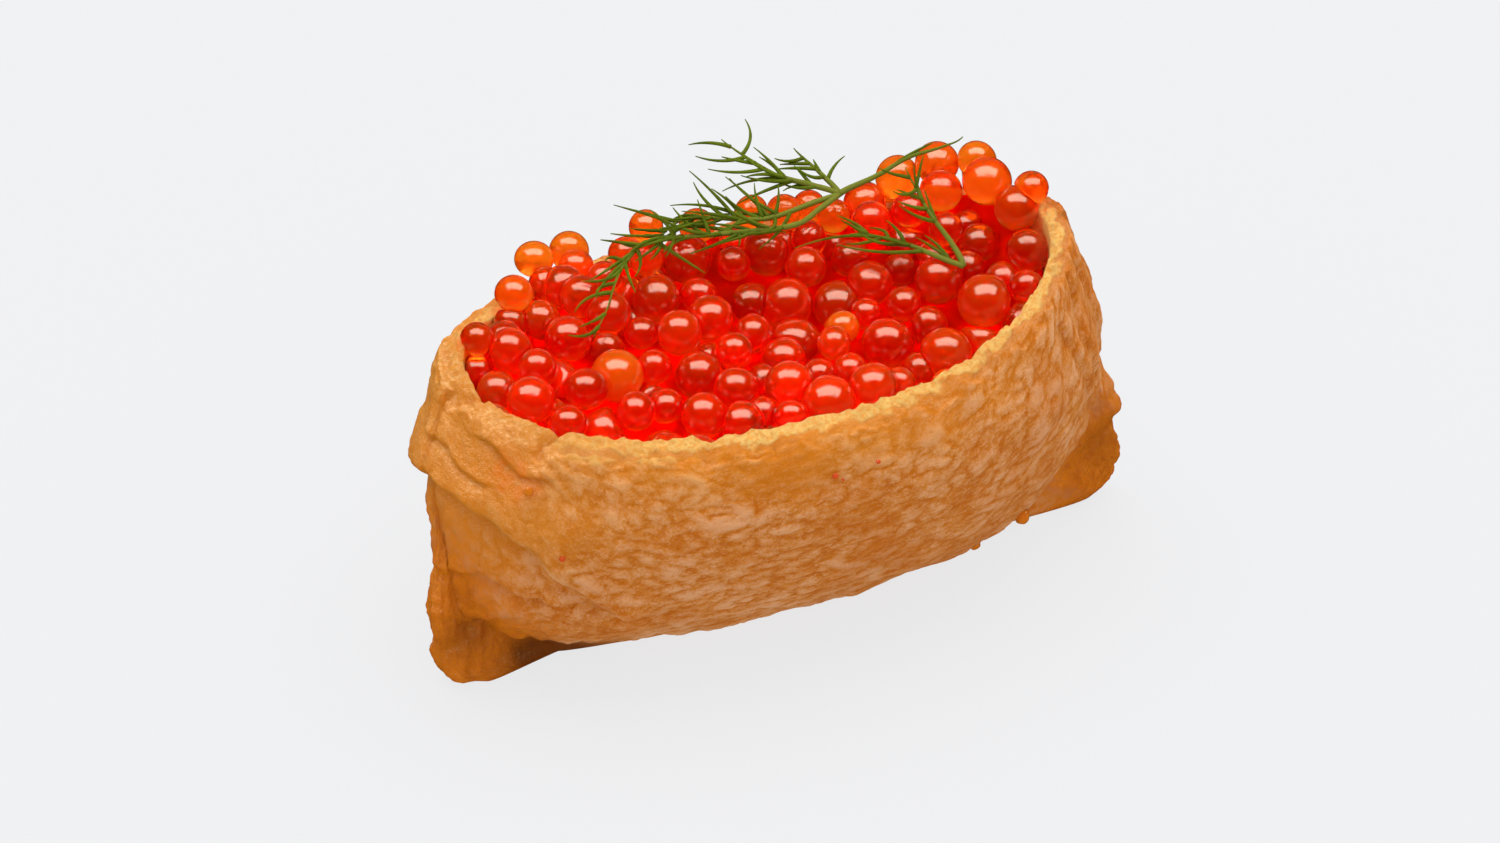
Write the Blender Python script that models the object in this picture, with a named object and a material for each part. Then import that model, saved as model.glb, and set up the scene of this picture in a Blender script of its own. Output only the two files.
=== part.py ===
"""Inari sushi topped with trout roe and dill, modelled in millimetres and stored in metres.

+X runs along the pouch towards its raised end, -Y is the side with the bulging wall and +Z is up.
The origin lies on the table, below the middle of the pouch.
"""

import math
import random

import bmesh
import bpy
from mathutils import Matrix, Vector, noise

MM = 0.001

# ---------------------------------------------------------------- fried tofu pouch
# A level of the pouch is a plan outline, the belly of the filled bag joined to the thin keel of
# its closed seam. The keel's two ends are the bag's bottom corners, which poke out as ears.
# Levels are shares of the height of the rim. Each list below has one value for each level.
LEVELS = (0.0, 0.06, 0.15, 0.30, 0.50, 0.72, 0.88, 1.0)
BELLY_LEFT = (22.5, 24.0, 27.5, 31.5, 32.0, 33.2, 31.8, 30.9)
BELLY_RIGHT = (25.5, 27.3, 28.8, 30.6, 33.0, 33.2, 31.2, 30.2)
BELLY_HALF_WIDTH = (6.5, 9.1, 11.3, 15.0, 17.2, 18.2, 17.7, 16.6)
KEEL_LEFT = (30.4, 33.6, 34.2, 34.0, 33.0, 33.4, 31.9, 31.2)
KEEL_RIGHT = (35.4, 36.7, 37.0, 36.0, 34.3, 33.5, 31.4, 30.3)
KEEL_HALF_WIDTH = (2.7, 3.2, 3.4, 3.3, 3.2, 3.2, 3.0, 2.6)
# How far the two ends of the outline are bent across the pouch.
LEAN_LEFT = (-5.9, -5.6, -5.1, -4.3, -3.2, -2.0, -1.1, -0.5)
LEAN_RIGHT = (-0.9, -1.1, -1.4, -1.9, -1.6, -1.3, -1.1, -0.9)
LEAN_POWER = 2.5
BELLY_BLUNTNESS = 2.15
KEEL_BLUNTNESS = 2.4
KEEL_PAST_BELLY = 0.3
SEAM_BLEND = 1.6
FAR_SIDE_EXTRA = 1.3

RIM_MIDDLE = 28.2
RIM_LEFT = 31.4
RIM_RIGHT = 36.0
RIM_REACH = 30.5
RIM_DOME = 0.3
RIM_WAVES = 0.35
WALL_SIDE = 2.4
WALL_LEFT = 2.7
WALL_RIGHT = 1.9
BED_DEPTH = 9.5
BED_ROUND = 1.6

AROUND = 92
UP = 19
# Levels lie closer together at the foot, where the ears are rounded.
UP_POWER = 1.35
SKIN_WAVES = 0.35
SKIN_WAVE_LENGTH = 6.5
CRUMB_LENGTH = 2.6

# Folds of the skin: points as (degrees round from the raised end, height), then how far the
# skin swells above the line, how deep it is tucked in below the line, and how wide the swell is.
FOLDS = (
    (((170, 22.6), (188, 23.5), (203, 22.3), (214, 18.4), (224, 10.7)), 1.1, 1.1, 4.5),
    (((194, 13.2), (203, 15.0), (214, 13.6), (224, 12.8)), 0.5, 0.6, 2.6),
    (((200, 28.4), (207, 27.9), (211, 26.8), (218, 26.8)), 0.5, 0.4, 2.2),
    (((326, 29.5), (330, 22.0), (334, 14.0)), 0.4, 0.5, 2.4),
    (((338, 30.5), (341, 22.0), (344, 13.0)), 0.4, 0.5, 2.2),
    (((144, 25.0), (134, 21.0), (122, 12.0)), 0.6, 0.5, 3.5),
    (((44, 27.0), (52, 22.5), (64, 12.0)), 0.6, 0.5, 3.5),
)
FOLD_EDGE = 1.3

# ---------------------------------------------------------------- trout roe
GAP = 0.35
EGG_RADIUS = (1.72, 2.34, 2.12)
EGG_SEED = 11
EGG_TRIES = 260
EGG_SETTLE_STEPS = 40
EGG_LAYERS_DEPTH = 7.6
EGG_HIGHEST = 0.8
EGG_MISSES = 60
EGG_CELL = 5.0
EGG_SEGMENTS = 8
EGG_RINGS = 4
EGG_LEAST_SHOWN = 0.8
CORE_BELOW_TOP = 2.3
CORE_AROUND = 44
CORE_TOP_RINGS = (0.78, 0.5)
CORE_STEP = 0.4
BRIM_REACH = 1.6
NEAR_DIP = 0.15
BACK_RISE = 4.5
RISE_FROM = -12.0
RISE_RUN = 29.0
HUMPS = ((-15.5, 12.0, 6.0, 1.0), (23.0, 8.5, 8.0, 1.6))
# Eggs that stand out, placed by hand: x, y, radius and how far it is raised above the heap.
PLACED_EGGS = (
    (-14.5, -2.0, 2.35, 1.6),
    (15.1, -8.9, 2.35, 1.4),
    (3.6, -9.1, 2.35, 0.3),
    (21.1, -4.3, 2.45, 0.4),
    (18.1, 0.1, 2.1, 0.0),
    (25.7, -2.3, 2.0, 0.0),
    (26.1, 1.2, 2.25, 1.7),
    (24.9, 5.5, 2.25, 0.7),
    (21.5, 7.7, 2.0, 0.0),
    (-23.0, 4.2, 2.1, 0.0),
    (-25.6, -0.6, 1.9, 0.0),
    (-25.9, 4.9, 1.3, 0.0),
    (-21.0, 9.3, 1.9, 0.6),
    (-17.1, 13.6, 1.7, 0.0),
    (-13.5, 14.8, 1.9, 0.0),
    (-10.4, 12.1, 1.8, 0.0),
    (-5.2, 15.3, 1.9, 0.3),
    (-0.2, 14.7, 1.9, 0.3),
    (4.3, 14.7, 1.8, 0.2),
    (8.4, 14.1, 2.0, 0.5),
    (12.0, 13.1, 1.9, 0.3),
    (15.4, 11.1, 1.9, 0.2),
    (18.9, 12.9, 1.8, 0.0),
    (22.7, 11.5, 1.9, 0.0),
    (25.9, 9.6, 1.9, 0.0),
    (28.4, 3.0, 1.2, 1.1),
    (-7.0, 2.3, 2.1, 0.2),
    (-3.1, 3.9, 2.1, 0.0),
    (-4.4, -5.6, 1.9, 0.0),
    (0.8, -5.7, 2.1, 0.0),
    (-8.5, -7.5, 2.1, 0.0),
    (-7.9, 7.3, 2.1, 0.0),
)

# ---------------------------------------------------------------- dill
STALK_RADIUS = 0.48
NEEDLE_RADIUS = 0.38
TIP_RADIUS = 0.16
STALK_SIDES = 5
NEEDLE_SIDES = 4
SAMPLE = 1.3
DRAPE_PASSES = 120
KNOT_RADIUS = 0.75
LARGE_KNOT = (12.3, 11.4, 1.6)
SMALL_KNOT = (19.8, -1.0, 0.6)
# A stalk's route: x, y and height above the heap.
LARGE_STALKS = {
    "lower": (
        (12.3, 11.4, 1.6), (9.8, 10.2, 1.2), (7.0, 9.0, 0.8), (2.9, 9.9, 0.8), (-3.5, 11.6, 0.8),
        (-6.9, 12.2, 0.8), (-10.4, 9.3, 0.6), (-13.2, 5.1, 0.6), (-15.6, 2.4, 0.5),
    ),
    "upper": (
        (12.3, 11.4, 1.6), (9.5, 11.2, 1.2), (5.0, 10.8, 1.0), (2.0, 12.1, 1.4), (-0.6, 13.8, 1.6),
        (-3.0, 14.3, 1.2), (-5.2, 12.8, 0.7), (-5.5, 10.8, 0.5),
    ),
    "right": (
        (12.3, 11.4, 1.6), (15.9, 10.7, 2.2), (18.8, 10.5, 2.2), (22.1, 8.8, 2.4),
        (23.4, 8.2, 3.6),
    ),
    "rising": ((12.3, 11.4, 1.6), (10.3, 12.5, 2.2), (6.7, 14.3, 3.6), (3.2, 19.0, 5.2)),
    "back": ((12.3, 11.4, 1.6), (11.6, 13.2, 2.2), (9.8, 17.0, 3.6)),
}
SMALL_STALKS = {
    "upright": ((19.8, -1.0, 0.6), (19.5, 0.8, 1.3), (18.4, 3.8, 2.4), (17.9, 5.9, 3.4)),
    "flat": (
        (19.8, -1.0, 0.6), (18.1, 0.3, 0.6), (16.1, 3.3, 0.7), (13.3, 6.2, 0.8), (11.6, 7.0, 1.0),
    ),
}
# A needle: its stalk, the share of the stalk where it leaves, its heading in degrees, its
# length, how far its tip rises, and how far its middle is bowed to the left of the heading.
LARGE_NEEDLES = (
    ("lower", 0.62, 159, 3.8, 0.6, 0.0),
    ("lower", 0.65, -153, 6.3, -0.2, 0.1),
    ("lower", 0.70, -139, 5.9, -0.2, -0.3),
    ("lower", 0.71, -97, 4.4, -0.2, -0.1),
    ("lower", 0.55, -149, 4.2, -0.3, 0.2),
    ("lower", 0.42, 89, 3.4, 1.8, 0.0),
    ("lower", 0.43, 110, 4.8, 0.6, 0.3),
    ("lower", 0.30, 145, 4.2, 0.1, -0.2),
    ("lower", 0.34, -108, 1.8, -0.3, 0.1),
    ("upper", 0.66, 165, 3.3, -0.4, -0.8),
    ("upper", 0.45, 150, 7.4, 0.8, -1.0),
    ("upper", 0.50, 122, 5.6, 3.2, -0.2),
    ("upper", 0.35, 123, 5.2, 2.6, -0.2),
    ("upper", 0.38, 88, 2.6, 2.4, 0.2),
    ("upper", 0.30, 128, 5.6, 2.2, 0.5),
    ("upper", 0.33, 60, 2.4, 2.0, -0.2),
    ("upper", 0.48, -158, 3.5, -0.4, 0.2),
    ("upper", 0.46, -42, 4.1, -0.4, -0.4),
    ("rising", 0.44, 115, 3.9, 1.6, -0.2),
    ("rising", 0.36, 158, 5.0, 0.5, 0.5),
    ("rising", 0.40, 140, 4.6, 1.6, 0.4),
    ("rising", 0.40, 172, 6.4, -0.4, -0.8),
    ("rising", 0.22, 117, 2.2, 1.2, 0.0),
    ("rising", 0.18, 155, 3.4, 0.2, 0.5),
    ("back", 0.28, 30, 2.6, 1.4, 0.3),
    ("back", 0.45, 100, 1.2, 0.8, 0.0),
    ("right", 0.45, -10, 3.6, 2.0, 0.2),
)
SMALL_NEEDLES = (
    ("upright", 0.45, 91, 2.8, 1.8, 0.0),
    ("upright", 0.65, 85, 3.2, 2.2, 0.2),
    ("upright", 0.80, 50, 2.2, 2.2, 0.0),
    ("flat", 0.10, 118, 4.4, 0.8, -0.2),
    ("flat", 0.12, 108, 3.6, 1.0, -0.3),
    ("flat", 0.86, 130, 2.8, 0.7, 0.0),
    ("flat", 0.54, 108, 2.7, 1.2, -0.3),
    ("flat", 0.33, 156, 12.3, 0.0, -2.3),
    ("flat", 0.36, 152, 8.2, 0.0, 0.7),
)

# Faces that meet at less than this angle, in degrees, are merged after a union.
FLAT_ENOUGH = 1.0

# ---------------------------------------------------------------- colours: RGB, roughness
SKIN_COLOUR = (0.56, 0.24, 0.06, 0.55)
ROE_COLOUR = (0.70, 0.035, 0.006, 0.12)
DILL_COLOUR = (0.10, 0.19, 0.03, 0.45)


def between(values, share):
    """A smooth curve through one value a level, read at a share of the height."""
    last = len(LEVELS) - 1
    i = next((k for k in range(last) if share <= LEVELS[k + 1]), last - 1)
    width = LEVELS[i + 1] - LEVELS[i]

    def slope(k):
        low, high = max(k - 1, 0), min(k + 1, last)
        return (values[high] - values[low]) / (LEVELS[high] - LEVELS[low])

    t = (share - LEVELS[i]) / width
    return (
        (2 * t**3 - 3 * t**2 + 1) * values[i]
        + (t**3 - 2 * t**2 + t) * width * slope(i)
        + (3 * t**2 - 2 * t**3) * values[i + 1]
        + (t**3 - t**2) * width * slope(i + 1)
    )


def ease(t):
    """A smooth step from 0 to 1."""
    t = min(max(t, 0.0), 1.0)
    return t * t * (3 - 2 * t)


def rounded_max(a, b, blend):
    """The larger of a and b, with the corner between them filled."""
    h = max(blend - abs(a - b), 0.0) / blend
    return max(a, b) + h * h * blend * 0.25


def lens(x, half_length, half_width, bluntness):
    """Half the width, at x, of an outline with rounded ends."""
    share = min(abs(x) / half_length, 1.0)
    return half_width * (1.0 - share**bluntness) ** (1.0 / bluntness)


def rim_height(x):
    """The rim is a saddle, higher at both ends than in the middle."""
    end = RIM_LEFT if x < 0 else RIM_RIGHT
    return RIM_MIDDLE + (end - RIM_MIDDLE) * min(abs(x) / RIM_REACH, 1.0) ** 3


# ---------------------------------------------------------------- pouch
def smooth_outer(share, turn):
    """The pouch's outer face without folds, at a share of the height and an angle round."""
    along, across = math.cos(turn), math.sin(turn)
    left = along < 0
    belly = between(BELLY_LEFT if left else BELLY_RIGHT, share)
    keel = max(between(KEEL_LEFT if left else KEEL_RIGHT, share), belly + KEEL_PAST_BELLY)
    x = along * keel
    half = rounded_max(
        lens(x, belly, between(BELLY_HALF_WIDTH, share), BELLY_BLUNTNESS),
        lens(x, keel, between(KEEL_HALF_WIDTH, share), KEEL_BLUNTNESS),
        SEAM_BLEND,
    )
    if across > 0:
        half += FAR_SIDE_EXTRA * (1 - along * along) * share * share
    if abs(across) < 1e-6:
        half = 0.0
    lean = between(LEAN_LEFT if left else LEAN_RIGHT, share) * (abs(x) / keel) ** LEAN_POWER
    rim = RIM_MIDDLE + ((RIM_LEFT if left else RIM_RIGHT) - RIM_MIDDLE) * abs(along) ** 3
    return Vector((x, math.copysign(half, across) + lean, share * rim))


def height_to_share(turn, height):
    return height / smooth_outer(1.0, turn).z


def fold_lines():
    """Each fold as points on the smooth outer face, with its swell, tuck and width."""
    lines = []
    for points, swell, tuck, width in FOLDS:
        line = []
        for degrees, height in points:
            turn = math.radians(degrees)
            line.append(smooth_outer(min(height_to_share(turn, height), 1.0), turn))
        lines.append((line, swell, tuck, width))
    return lines


def fold_offset(point, lines):
    """How far the folds push the skin outwards at a point."""
    total = 0.0
    for line, swell, tuck, width in lines:
        best = None
        for a, b in zip(line, line[1:]):
            run = b - a
            share = min(max((point - a).dot(run) / run.length_squared, 0.0), 1.0)
            foot = a + run * share
            distance = (point - foot).length
            if best is None or distance < best[0]:
                steep = abs(run.z) > Vector((run.x, run.y)).length
                side = (point.x - foot.x) if steep else (point.z - foot.z)
                best = (distance, side)
        distance, side = best
        if distance > 2.5 * width:
            continue
        fade = math.exp(-((distance / width) ** 2))
        over = ease((side + FOLD_EDGE) / (2 * FOLD_EDGE))
        near = math.exp(-((distance / (0.45 * width)) ** 2))
        total += swell * over * fade - tuck * (1 - over) * near
    return total


def skin_offset(point, share, lines):
    """Folds and waves of the skin, fading out at the flat foot."""
    wave = noise.noise(point / SKIN_WAVE_LENGTH)
    return (fold_offset(point, lines) + SKIN_WAVES * wave) * ease(share / 0.08)


def outer_ring(share, lines):
    ring = []
    for i in range(AROUND):
        turn = 2 * math.pi * i / AROUND
        step = math.pi / AROUND
        here = smooth_outer(share, turn)
        tangent = smooth_outer(share, turn + step) - smooth_outer(share, turn - step)
        outwards = Vector((tangent.y, -tangent.x, 0.0)).normalized()
        moved = here + outwards * skin_offset(here, share, lines)
        if share > 0.99:
            moved.z += rim_wave(here)
        ring.append(moved)
    return ring


def rim_wave(point):
    """The torn rim goes up and down a little."""
    return RIM_WAVES * noise.noise(Vector((point.x, point.y, 40.0)) / CRUMB_LENGTH)


def bed_point(turn, inset):
    """A point of the opening's outline, inset from the pouch's inner wall."""
    along, across = math.cos(turn), math.sin(turn)
    left = along < 0
    length = (BELLY_LEFT[-1] - WALL_LEFT if left else BELLY_RIGHT[-1] - WALL_RIGHT) - inset
    width = BELLY_HALF_WIDTH[-1] - WALL_SIDE - inset
    x = along * length
    half = lens(x, length, width, BELLY_BLUNTNESS)
    if across > 0:
        half += FAR_SIDE_EXTRA * (1 - along * along)
    lean = (LEAN_LEFT if left else LEAN_RIGHT)[-1] * (abs(x) / RIM_REACH) ** LEAN_POWER
    return x, math.copysign(half, across) + lean if abs(across) > 1e-6 else lean


def bed_ring(inset, below_rim, count=AROUND):
    ring = []
    for i in range(count):
        x, y = bed_point(2 * math.pi * i / count, inset)
        ring.append(Vector((x, y, rim_height(x) - below_rim)))
    return ring


def add_ring(bm, ring):
    return [bm.verts.new(point * MM) for point in ring]


def join_rings(bm, low, high):
    """Faces from one ring to the next, in triangles, with the outside on the right."""
    count = len(low)
    for i in range(count):
        j = (i + 1) % count
        bm.faces.new((low[i], low[j], high[j]))
        bm.faces.new((low[i], high[j], high[i]))


def cap_ring(bm, ring, upwards):
    """Close a ring with strips that run across the pouch."""
    count = len(ring)
    half = count // 2
    for i in range(half):
        j = i + 1
        far = (count - i) % count
        farther = count - j
        corners = [ring[i], ring[j], ring[farther % count], ring[far]]
        corners = list(dict.fromkeys(corners))
        if not upwards:
            corners.reverse()
        if len(corners) >= 3:
            bm.faces.new(corners)


def finish_mesh(bm, name, colour):
    bmesh.ops.triangulate(bm, faces=bm.faces[:])
    bmesh.ops.recalc_face_normals(bm, faces=bm.faces[:])
    mesh = bpy.data.meshes.new(name)
    bm.to_mesh(mesh)
    bm.free()
    part = bpy.data.objects.new(name, mesh)
    bpy.context.collection.objects.link(part)
    mesh.shade_smooth()
    mesh.set_sharp_from_angle(angle=math.radians(50))
    mesh.materials.append(plain_material(name, colour))
    return part


def plain_material(name, colour):
    material = bpy.data.materials.new(name)
    material.use_nodes = True
    shader = material.node_tree.nodes["Principled BSDF"]
    shader.inputs["Base Color"].default_value = (*colour[:3], 1.0)
    shader.inputs["Roughness"].default_value = colour[3]
    return material


def build_pouch():
    """The fried tofu bag: folded skin, ears, torn rim and a shallow hollow for the roe."""
    lines = fold_lines()
    bm = bmesh.new()
    rings = [add_ring(bm, outer_ring((i / UP) ** UP_POWER, lines)) for i in range(UP + 1)]
    mid_rim = []
    for inner, outer in zip(bed_ring(0.0, 0.0), outer_ring(1.0, lines)):
        middle = inner.lerp(outer, 0.5)
        middle.z = rim_height(middle.x) + RIM_DOME + rim_wave(middle)
        mid_rim.append(middle)
    rings.append(add_ring(bm, mid_rim))
    rings.append(add_ring(bm, bed_ring(0.0, 0.0)))
    rings.append(add_ring(bm, bed_ring(0.0, BED_DEPTH / 2)))
    rings.append(add_ring(bm, bed_ring(0.0, BED_DEPTH - BED_ROUND)))
    rings.append(add_ring(bm, bed_ring(BED_ROUND, BED_DEPTH)))
    for low, high in zip(rings, rings[1:]):
        join_rings(bm, low, high)
    cap_ring(bm, rings[0], upwards=False)
    cap_ring(bm, rings[-1], upwards=True)
    return finish_mesh(bm, "tofu_pouch", SKIN_COLOUR)


# ---------------------------------------------------------------- roe
def roe_top(x, y):
    """The height that the tops of the eggs reach: level with the near rim, heaped at the back."""
    height = rim_height(x) - NEAR_DIP + BACK_RISE * ease((y - RISE_FROM) / RISE_RUN)
    for hump_x, hump_y, reach, rise in HUMPS:
        away = ((x - hump_x) ** 2 + (y - hump_y) ** 2) / reach**2
        height += rise * math.exp(-1.6 * away)
    return height


def wall_distance(x, y):
    """How far a point lies inside the opening, negative outside."""
    low, high = -3.0, BELLY_HALF_WIDTH[-1] - WALL_SIDE
    lean = (LEAN_LEFT if x < 0 else LEAN_RIGHT)[-1] * (abs(x) / RIM_REACH) ** LEAN_POWER
    extra = FAR_SIDE_EXTRA * max(1 - (x / RIM_REACH) ** 2, 0.0) if y > lean else 0.0
    for _ in range(14):
        inset = (low + high) / 2
        end = BELLY_LEFT[-1] - WALL_LEFT if x < 0 else BELLY_RIGHT[-1] - WALL_RIGHT
        width = BELLY_HALF_WIDTH[-1] - WALL_SIDE
        half = lens(x, end - inset, width - inset, BELLY_BLUNTNESS) + extra
        if abs(x) < end - inset and abs(y - lean) < half:
            low = inset
        else:
            high = inset
    return low


def clear_of_rim(x, y, radius):
    """The lowest height at which a ball clears the wall and its rim."""
    reach = radius + GAP
    inside = wall_distance(x, y)
    if inside >= reach:
        return 0.0
    return rim_height(x) + RIM_DOME + RIM_WAVES / 2 + math.sqrt(reach**2 - max(inside, 0.0) ** 2)


class EggHeap:
    """Eggs as (x, y, z, radius), found again by the cell of the table that they lie over."""

    def __init__(self):
        self.eggs = []
        self.cells = {}

    def add(self, x, y, z, radius):
        cell = (math.floor(x / EGG_CELL), math.floor(y / EGG_CELL))
        self.cells.setdefault(cell, []).append((x, y, z, radius))
        self.eggs.append((x, y, z, radius))

    def near(self, x, y):
        column, row = math.floor(x / EGG_CELL), math.floor(y / EGG_CELL)
        for i in (column - 1, column, column + 1):
            for j in (row - 1, row, row + 1):
                yield from self.cells.get((i, j), ())

    def resting_height(self, x, y, radius):
        """The lowest free height for an egg here, or None over the wall."""
        if wall_distance(x, y) < 0.8:
            return None
        taken = []
        for other_x, other_y, other_z, other in self.near(x, y):
            reach = (other + radius) ** 2 - (other_x - x) ** 2 - (other_y - y) ** 2
            if reach > 0:
                half = math.sqrt(reach)
                taken.append((other_z - half, other_z + half))
        z = max(roe_top(x, y) - EGG_LAYERS_DEPTH + radius, clear_of_rim(x, y, radius))
        moved = True
        while moved:
            moved = False
            for low, high in taken:
                if low + 1e-9 < z < high - 1e-9:
                    z = high
                    moved = True
        return z


def pack_eggs():
    """Place the eggs that stand out, then fill the bed with seeded ones, lowest place first."""
    heap = EggHeap()
    for x, y, radius, raised in PLACED_EGGS:
        z = roe_top(x, y) - radius + raised
        heap.add(x, y, max(z, clear_of_rim(x, y, radius)), radius)
    draw = random.Random(EGG_SEED)
    reach_x = BELLY_LEFT[-1] - WALL_LEFT
    reach_y = BELLY_HALF_WIDTH[-1] - WALL_SIDE + FAR_SIDE_EXTRA
    misses = 0
    while misses < EGG_MISSES:
        radius = draw.triangular(*EGG_RADIUS)
        best = None
        for _ in range(EGG_TRIES):
            x, y = draw.uniform(-reach_x, reach_x), draw.uniform(-reach_y, reach_y)
            z = heap.resting_height(x, y, radius)
            if z is not None and (best is None or z + radius - roe_top(x, y) < best[0]):
                best = (z + radius - roe_top(x, y), x, y, z)
        proud, x, y, z = best
        step = 0.8
        for _ in range(EGG_SETTLE_STEPS):
            new_x, new_y = x + draw.uniform(-step, step), y + draw.uniform(-step, step)
            new_z = heap.resting_height(new_x, new_y, radius)
            if new_z is not None and new_z + radius - roe_top(new_x, new_y) < proud:
                proud, x, y, z = new_z + radius - roe_top(new_x, new_y), new_x, new_y, new_z
            step *= 0.95
        if proud > EGG_HIGHEST:
            misses += 1
        else:
            heap.add(x, y, z, radius)
    return heap


def core_top(x, y):
    return roe_top(x, y) - CORE_BELOW_TOP


def rim_cleared(x):
    """The lowest height that clears the rim here."""
    return rim_height(x) + RIM_DOME + RIM_WAVES / 2 + GAP


def brim_rings():
    """The core's shoulder: where the heap stands above the rim, it spreads over it."""
    shoulder, brim = [], []
    for i in range(CORE_AROUND):
        turn = 2 * math.pi * i / CORE_AROUND
        x, y = bed_point(turn, GAP)
        over = min(max(core_top(x, y) - rim_cleared(x), 0.0), BRIM_REACH)
        shoulder.append(Vector((x, y, min(core_top(x, y), rim_cleared(x)) - CORE_STEP)))
        x, y = bed_point(turn, GAP - over)
        height = core_top(x, y) if over == 0.0 else max(core_top(x, y), rim_cleared(x))
        brim.append(Vector((x, y, height)))
    return shoulder, brim


def build_core():
    """The body of the roe below the eggs that show."""
    bm = bmesh.new()
    foot = BED_DEPTH - GAP
    rings = [add_ring(bm, bed_ring(BED_ROUND + GAP, foot, CORE_AROUND))]
    rings.append(add_ring(bm, bed_ring(GAP, foot - BED_ROUND, CORE_AROUND)))
    rings += [add_ring(bm, ring) for ring in brim_rings()]
    for share in CORE_TOP_RINGS:
        ring = []
        for point in bed_ring(GAP, 0.0, CORE_AROUND):
            x, y = point.x * share, point.y * share
            ring.append(Vector((x, y, core_top(x, y))))
        rings.append(add_ring(bm, ring))
    for low, high in zip(rings, rings[1:]):
        join_rings(bm, low, high)
    cap_ring(bm, rings[0], upwards=False)
    cap_ring(bm, rings[-1], upwards=True)
    return finish_mesh(bm, "roe_heap", ROE_COLOUR)


def build_egg(egg, number):
    x, y, z, radius = egg
    bm = bmesh.new()
    bmesh.ops.create_uvsphere(
        bm, u_segments=EGG_SEGMENTS, v_segments=EGG_RINGS, radius=radius * MM
    )
    spin = Matrix.Rotation(number * 2.4, 4, "Z") @ Matrix.Rotation(number * 1.1, 4, "X")
    place = Matrix.Translation(Vector((x, y, z)) * MM) @ spin
    bmesh.ops.transform(bm, matrix=place, verts=bm.verts)
    return finish_mesh(bm, f"egg_{number}", ROE_COLOUR)


def union_into(base, pieces, solver="EXACT"):
    """Fuse the pieces onto the base and remove them."""
    group = bpy.data.collections.new("pieces")
    bpy.context.scene.collection.children.link(group)
    for piece in pieces:
        group.objects.link(piece)
        bpy.context.collection.objects.unlink(piece)
    cut = base.modifiers.new("union", "BOOLEAN")
    cut.operation = "UNION"
    cut.operand_type = "COLLECTION"
    cut.collection = group
    cut.solver = solver
    apply_modifiers(base)
    for piece in pieces:
        bpy.data.objects.remove(piece)
    bpy.data.collections.remove(group)


def apply_modifiers(part):
    shape = bpy.data.meshes.new_from_object(part.evaluated_get(bpy.context.evaluated_depsgraph_get()))
    part.modifiers.clear()
    part.data = shape


def tidy_union(part):
    """Keep the main body: drop loose scraps and fill hollows that the fusing sealed."""
    bm = bmesh.new()
    bm.from_mesh(part.data)
    flat = math.radians(FLAT_ENOUGH)
    bmesh.ops.dissolve_limit(bm, angle_limit=flat, verts=bm.verts[:], edges=bm.edges[:])
    bmesh.ops.triangulate(bm, faces=bm.faces[:])
    bodies = connected_bodies(bm)
    bodies.sort(key=len, reverse=True)
    scraps = [vert for body in bodies[1:] for vert in body]
    bmesh.ops.delete(bm, geom=scraps, context="VERTS")
    bm.to_mesh(part.data)
    bm.free()
    part.data.shade_smooth()
    part.data.set_sharp_from_angle(angle=math.radians(50))


def connected_bodies(bm):
    left = set(bm.verts)
    bodies = []
    while left:
        start = left.pop()
        body = [start]
        queue = [start]
        while queue:
            for edge in queue.pop().link_edges:
                for vert in edge.verts:
                    if vert in left:
                        left.remove(vert)
                        body.append(vert)
                        queue.append(vert)
        bodies.append(body)
    return bodies


def build_roe(heap):
    core = build_core()
    shown = []
    for egg in heap.eggs:
        x, y, z, radius = egg
        if z + radius > core_top(x, y) + EGG_LEAST_SHOWN:
            shown.append(build_egg(egg, len(shown)))
    union_into(core, shown)
    tidy_union(core)
    return core


# ---------------------------------------------------------------- dill
def clear_of_roe(heap, x, y, radius):
    """The lowest height at which a stalk clears the eggs, the core and the rim."""
    height = core_top(x, min(y, RISE_FROM + RISE_RUN)) + GAP + radius
    height = max(height, clear_of_rim(x, y, radius) if abs(wall_distance(x, y)) < 2.9 else 0.0)
    for egg_x, egg_y, egg_z, egg in heap.near(x, y):
        reach = egg + GAP + radius
        inside = reach**2 - (egg_x - x) ** 2 - (egg_y - y) ** 2
        if inside > 0:
            height = max(height, egg_z + math.sqrt(inside))
    return height


def smooth_route(points):
    """Points about one sample apart on a smooth curve through the given ones."""
    route = []
    for i in range(len(points) - 1):
        before = points[max(i - 1, 0)]
        start, end = points[i], points[i + 1]
        after = points[min(i + 2, len(points) - 1)]
        steps = max(round((end - start).length / SAMPLE), 1)
        for k in range(steps):
            t = k / steps
            route.append(
                0.5
                * (
                    2 * start
                    + (end - before) * t
                    + (2 * before - 5 * start + 4 * end - after) * t**2
                    + (3 * start - before - 3 * end + after) * t**3
                )
            )
    route.append(points[-1])
    return route


def drape(heap, route, radius, fixed_start):
    """Lift a route clear of the eggs, so that it bridges the dips between them."""
    need = [clear_of_roe(heap, point.x, point.y, radius) for point in route]
    start = fixed_start if fixed_start is not None else max(route[0].z, need[0])
    lifted = [max(point.z, low) for point, low in zip(route, need)]
    lifted[0] = start
    for _ in range(DRAPE_PASSES):
        for i in range(1, len(lifted) - 1):
            bridged = (lifted[i - 1] + lifted[i + 1]) / 2
            lifted[i] = max(need[i], min(lifted[i], bridged) if lifted[i] > bridged else bridged)
    return [Vector((point.x, point.y, z)) for point, z in zip(route, lifted)]


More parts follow.
